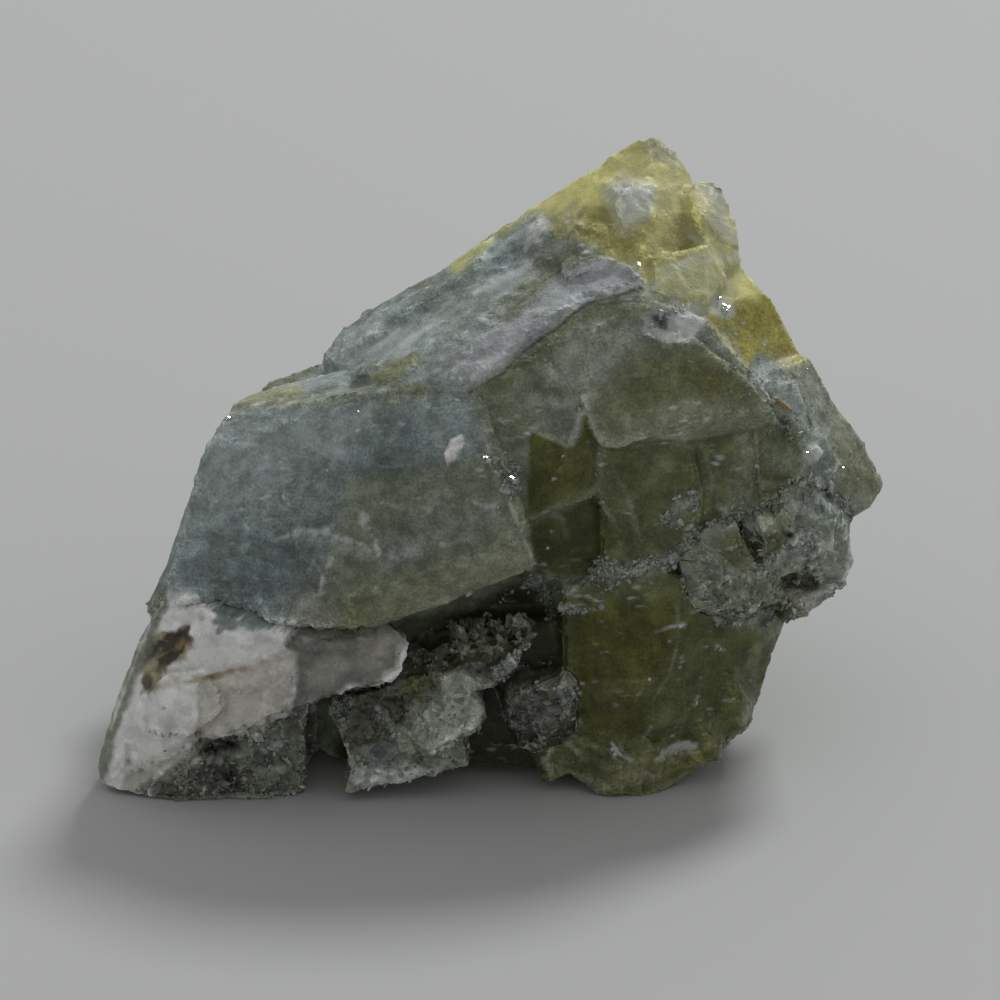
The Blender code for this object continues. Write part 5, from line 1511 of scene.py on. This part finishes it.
def hidden_colours(skin, tint, frost):
    """Colours the sides away from the sheet: yellow under the crest, blue to the left, deep olive below."""
    x, _, z = skin.points.T / MM
    wide, small = skin.waves(9 * MM, 61), skin.waves(3.5 * MM, 62)
    laid_behind(skin, tint, frost, (
        ("slope_grey", 0.9, np.clip(wide * 2.2 + 0.7 * small, 0, 1)),
        ("blue_grey", 0.7, np.clip((-4 - x) / 8 + wide, 0, 1) * 0.8),
        ("olive", 0.35, np.clip(skin.waves(6 * MM, 63) * 3 - 0.2, 0, 1) * 0.8),
        ("deep_olive", 0.25, np.clip((14 - z) / 8 + 0.8 * small, 0, 1) * 0.75),
        ("straw", 0.5, np.clip((z - 30) / 9 + 0.7 * wide, 0, 1) * np.clip((x + 2) / 6, 0, 1) * 0.9),
        ("veil", 0.9, np.clip(skin.streaks(7 * MM, 1.1 * MM, 36, 64) * 2 - 0.55, 0, 1) * 0.4),
        ("pale_edge_and_highlight", 0.5, np.clip(skin.waves(1.6 * MM, 65) * 3 - 1.1, 0, 1) * 0.4),
    ))


def crisp_outlines(layers):
    """Width and path of every mark that has a hard outline."""
    return [
        (width, path) for _, _, strength, soft, _, width, path in layers if soft <= 5 and strength > 0.3
    ]


def fluorite_colours(skin):
    """The fluorite's colours, and how frosted it is."""
    tint = np.tile(colour_of("grey_green"), (len(skin.points), 1))
    frost = np.full(len(tint), 0.5)
    hidden_colours(skin, tint, frost)
    painted(skin, tint, frost, FLUORITE_MARKS)
    tint = skin.mottled(tint, 0.9 * MM, 0.14 * np.clip(1.5 - 2 * tint[:, 1], 0.2, 1), 44)
    tint = skin.mottled(0.95 * tint, 2.6 * MM, 0.28 * np.clip(1.3 - 2 * tint[:, 1], 0.3, 1), 41)
    return tint, frost


def break_fluorite(skin, tint, frost):
    """Gives the skin its ledges, facets, grooves, grain and chips, and shades the grooves."""
    size = sizes()
    skin.relief(FLUORITE_RELIEF)
    matte = np.clip((frost - 0.75) / 0.2, 0, 1)
    broken = skin.facets(3.2 * MM, 5) + 0.45 * skin.facets(1.2 * MM, 6)
    skin.push(broken * size.facet_depth * (0.25 + 0.75 * frost) * (1 - 0.75 * matte))
    crumbled = skin.mark(CRUMBLED_BASE, 0, 14, 8)
    skin.push(skin.facets(2.2 * MM, 51) * crumbled * CRUMBLE_DEPTH)
    grooves = skin.streaks(9 * MM, 1.0 * MM, 36, 3) + 0.5 * skin.streaks(4 * MM, 0.5 * MM, 33, 4)
    skin.push(grooves * matte * size.groove_depth)
    grain = skin.waves(0.5 * MM, 14) + skin.waves(0.9 * MM, 15)
    skin.push(grain * size.grain_depth * frost * (1 - 0.6 * matte))
    skin.chip_edges(size.chip_depth)
    return tint * np.exp(0.2 * grooves * matte)[:, None]


def grow_fluorite_points(skin, tint):
    """Sets quartz points along the cubes, on the shoulder and on the back."""
    strips = skin.marks(DRUSE_STRIPS, 4, 4)
    strips *= np.clip(skin.waves(1.3 * MM, 33) * 1.5 + 0.75, 0, 1)
    sparks = np.clip(skin.waves(5 * MM, 31) - 0.1, 0, 1) * skin.mark(SPECKLED, 0, 20, 8)
    back = np.clip(skin.waves(6 * MM, 37) * 2 - 0.35, 0, 1) * skin.behind()
    back *= np.clip(skin.waves(1.5 * MM, 38) + 0.6, 0.02, 1) * (skin.points[:, 2] < 32 * MM)
    coat = colour_of("druse_light") * 0.5 + tint * 0.5
    grow_points("quartz_points_on_cubes", skin, coat, strips ** 2, 3000, 0.42 * MM, 71)
    grow_points("quartz_points_on_shoulder", skin, coat, sparks, 320, 0.34 * MM, 72)
    grow_points("quartz_points_on_back", skin, coat, back, 900, 0.6 * MM, 73)


class STONE_OT_fluorite(bpy.types.Operator):
    """Builds the fluorite's surface with its quartz points and glints"""

    bl_idname = "stone.fluorite"
    bl_label = "Fluorite"

    def execute(self, context):
        solid = plugged(merged_copy("fluorite"), HOLLOWS)
        skin = Skin(fused(solid, sizes().skin_cell, 1, crisp_outlines(FLUORITE_MARKS)))
        tint, frost = fluorite_colours(skin)
        tint = break_fluorite(skin, tint, frost)
        grow_fluorite_points(skin, tint)
        glint_flakes("glints_on_fluorite", skin, FLUORITE_GLINTS)
        dress("fluorite_stone", skin, tint, frost, "frosted_fluorite", "fluorite")
        return {"FINISHED"}


def fluorite_tree():
    """The solid fluorite, in a tree that finds the nearest place on it."""
    shape = merged_copy("fluorite")
    tree = BVHTree.FromBMesh(shape)
    shape.free()
    return tree


def break_quartz(skin):
    """Breaks the skin into blocks and small grains. Gives how light or dark each of them is."""
    skin.push((0.10 * skin.facets(4.5 * MM, 7) + 0.06 * skin.facets(1.6 * MM, 8)) * MM)
    joints, shades = skin.cobbles(4.2 * MM, 12)
    joint_depth = np.clip(1 - joints / 0.1, 0, 1) * np.clip(skin.waves(3 * MM, 20) * 2 + 0.3, 0, 1)
    small_joints, small_shades = skin.cobbles(1.5 * MM, 13)
    small_depth = np.clip(1 - small_joints / 0.2, 0, 1)
    rough = skin.mark(FOOT, 0, 6, 6)
    skin.push(-(joint_depth * 0.1 + small_depth * (0.05 + 0.15 * rough)) * MM)
    skin.relief(QUARTZ_RELIEF)
    skin.push((skin.waves(0.6 * MM, 16) * 0.07 + skin.waves(2 * MM, 18) * 0.12) * MM)
    shade = 0.94 + 0.08 * shades + 0.08 * small_shades - 0.06 * joint_depth
    return shade * np.exp(rough * (0.5 * small_shades - 0.25 - 0.4 * small_depth))


def quartz_colours(skin, shade):
    """The milky quartz's colours, and how frosted it is."""
    tint = np.tile(colour_of("milky"), (len(skin.points), 1))
    frost = np.full(len(tint), 0.6)
    hidden_quartz(skin, tint, frost)
    painted(skin, tint, frost, QUARTZ_MARKS)
    for name, path in SEAMS:
        tint[gap_to_path(skin.sheet, path) < SEAM_REACH] = colour_of(name)
    tint = skin.mottled(tint * shade[:, None], 1.4 * MM, 0.07, 43)
    foot = skin.mark(FOOT, 0, 8, 6)
    return tint * np.exp(0.35 * skin.waves(1.2 * MM, 35) * foot)[:, None], frost


def grow_foot_points(skin, tint):
    """Sets quartz points on the milky quartz's foot, in front and behind."""
    foot = skin.mark(FOOT, 0, 8, 6) + 0.2 * skin.mark(VEIN_SPARKS, 10, 10, 8)
    low = np.clip((7 * MM - skin.points[:, 2]) / (4 * MM) + skin.waves(2.6 * MM, 73), 0, 1)
    foot += skin.behind() * low
    foot *= np.clip(skin.waves(1.5 * MM, 34) + 0.6, 0.05, 1)
    coat = 0.3 * colour_of("druse_light") + 0.7 * tint
    grow_points("quartz_points_on_foot", skin, coat, foot, 1700, sizes().point_length, 82)


class STONE_OT_milky_quartz(bpy.types.Operator):
    """Builds the milky quartz with its points and glints"""

    bl_idname = "stone.milky_quartz"
    bl_label = "Milky quartz"

    def execute(self, context):
        shape = add_lumps(merged_copy("milky_quartz"), 110, 0.9, 2.0, 81, QUARTZ_RIMS)
        skin = Skin(fused(shape, sizes().quartz_cell, 0))
        close_gap(skin, fluorite_tree(), 2.0 * MM)
        tint, frost = quartz_colours(skin, break_quartz(skin))
        grow_foot_points(skin, tint)
        glint_flakes("glints_on_quartz", skin, QUARTZ_GLINTS)
        dress("milky_quartz_surface", skin, tint, frost, "milky_quartz", "milky_quartz")
        return {"FINISHED"}


def build_crust(node, count, number, stone):
    """Builds one sparkling crust, with this many points on it."""
    size = sizes()
    shape = add_lumps(merged_copy(node), count // 8, 0.6, 1.5, 90 + number, LACE)
    skin = Skin(fused(shape, size.crust_cell, 0))
    close_gap(skin, stone, 2.4 * MM)
    skin.relief(CRUST_RELIEF)
    plates = skin.marks(SMOOTH_PLATES, 4, 4)
    lace = skin.marks(LACE, 4, 5)
    joints = skin.cobbles(1.5 * MM, 17)[0]
    rims = np.clip(1 - joints / 0.14, 0, 1) * np.clip(skin.waves(2.2 * MM, 18) * 2.5 + 0.4, 0, 1)
    rims *= 1 - plates
    broken = 0.14 * skin.facets(1.4 * MM, 9) + 0.08 * skin.facets(0.7 * MM, 19) * (1 - plates)
    skin.push((broken + 0.12 * rims + 0.1 * lace * skin.waves(0.5 * MM, 24)) * MM)
    tint = np.tile(colour_of("druse_grey"), (len(skin.points), 1))
    frost = np.full(len(tint), 0.5)
    painted(skin, tint, frost, CRUST_MARKS)
    dark = np.clip(1 - tint[:, 1] / 0.3, 0, 1)
    light = np.maximum(lace * np.clip(skin.waves(0.7 * MM, 25) + 0.6, 0, 1), 0.5 * rims * (1 - dark))
    tint += light[:, None] * 0.4 * (colour_of("druse_light") - tint)
    tint = skin.mottled(tint, 1.3 * MM, 0.35, 45)
    frost -= 0.3 * plates
    lit = skin.facing ** 2 * np.clip(skin.waves(1.6 * MM, 36) + 0.1, 0.02, 1) * (1 - 0.9 * dark)
    lit = (lit * 0.5 + lace) * (1 - 0.9 * plates)
    grow_points(node.replace("crust", "points_on"), skin, tint, lit, count, size.point_length, 84 + number)
    glint_flakes(node.replace("crust", "glints"), skin, CRUST_GLINTS)
    dress(node + "_surface", skin, tint, frost, "sparkling_quartz", node)


class STONE_OT_quartz_crusts(bpy.types.Operator):
    """Builds the sparkling crusts with their points and glints"""

    bl_idname = "stone.quartz_crusts"
    bl_label = "Quartz crusts"

    def execute(self, context):
        stone = fluorite_tree()
        for number, (node, count) in enumerate(CRUSTS):
            build_crust(node, count, number, stone)
        return {"FINISHED"}


def make_floor():
    """A plain table under the specimen."""
    shape = bmesh.new()
    bmesh.ops.create_grid(shape, x_segments=1, y_segments=1, size=FLOOR_SIZE)
    bmesh.ops.translate(shape, vec=(0, 0, -FLOOR_DROP), verts=shape.verts)
    floor = object_from("floor", shape)
    material = bpy.data.materials.new("floor")
    material.use_nodes = True
    shader = material.node_tree.nodes["Principled BSDF"]
    shader.inputs["Base Color"].default_value = (*colour_of("floor"), 1)
    shader.inputs["Roughness"].default_value = 0.7
    floor.data.materials.append(material)


def turned_object(name, data, place, outwards):
    """A light or a camera at this place, turned so that its back points outwards."""
    made = bpy.data.objects.new(name, data)
    made.location = place
    made.rotation_mode = "QUATERNION"
    made.rotation_quaternion = outwards.to_track_quat("Z", "Y")
    bpy.context.scene.collection.objects.link(made)
    return made


class STONE_OT_stage(bpy.types.Operator):
    """Sets the table, the light and the camera"""

    bl_idname = "stone.stage"
    bl_label = "Stage"

    def execute(self, context):
        scene = context.scene
        make_floor()
        light = bpy.data.lights.new("key", "AREA")
        light.shape = "DISK"
        light.size = LIGHT_SIZE
        light.energy = LIGHT_POWER
        toward = Vector(KEY_SIDE).normalized()
        turned_object("key", light, toward * LIGHT_DISTANCE, toward)
        world = bpy.data.worlds.new("room")
        world.use_nodes = True
        background = world.node_tree.nodes["Background"]
        background.inputs["Color"].default_value = (1, 1, 1, 1)
        background.inputs["Strength"].default_value = ROOM_LIGHT
        scene.world = world
        optics = bpy.data.cameras.new("camera")
        optics.lens = SENSOR_WIDTH * CAMERA_DISTANCE / FRAME_WIDTH
        scene.camera = turned_object("camera", optics, CAMERA_TARGET + VIEW * CAMERA_DISTANCE, VIEW)
        scene.view_settings.view_transform = "Standard"
        return {"FINISHED"}


class STONE_PT_panel(bpy.types.Panel):
    """Lists the build steps and their values"""

    bl_label = "Stone"
    bl_space_type = "VIEW_3D"
    bl_region_type = "UI"
    bl_category = "Stone"

    def draw(self, context):
        for name in OPERATOR_ORDER:
            self.layout.operator(f"stone.{name}")
        for group, table in ((context.scene.stone_sizes, SIZES), (context.scene.stone_colours, COLOURS)):
            for row in table:
                self.layout.prop(group, row[0])


OPERATOR_ORDER = ("fluorite", "milky_quartz", "quartz_crusts", "stage")
CLASSES = (
    StoneSizes, StoneColours, STONE_OT_fluorite, STONE_OT_milky_quartz, STONE_OT_quartz_crusts,
    STONE_OT_stage, STONE_PT_panel,
)


def register():
    made_finishes.clear()
    for made in CLASSES:
        bpy.utils.register_class(made)
    bpy.types.Scene.stone_sizes = bpy.props.PointerProperty(type=StoneSizes)
    bpy.types.Scene.stone_colours = bpy.props.PointerProperty(type=StoneColours)


def unregister():
    del bpy.types.Scene.stone_colours
    del bpy.types.Scene.stone_sizes
    for made in reversed(CLASSES):
        bpy.utils.unregister_class(made)


def main():
    register()
    for make in (grain_group, fleck_group, cloud_group, faces_group):
        make()
    for name in OPERATOR_ORDER:
        getattr(bpy.ops.stone, name)()


if __name__ == "__main__":
    main()
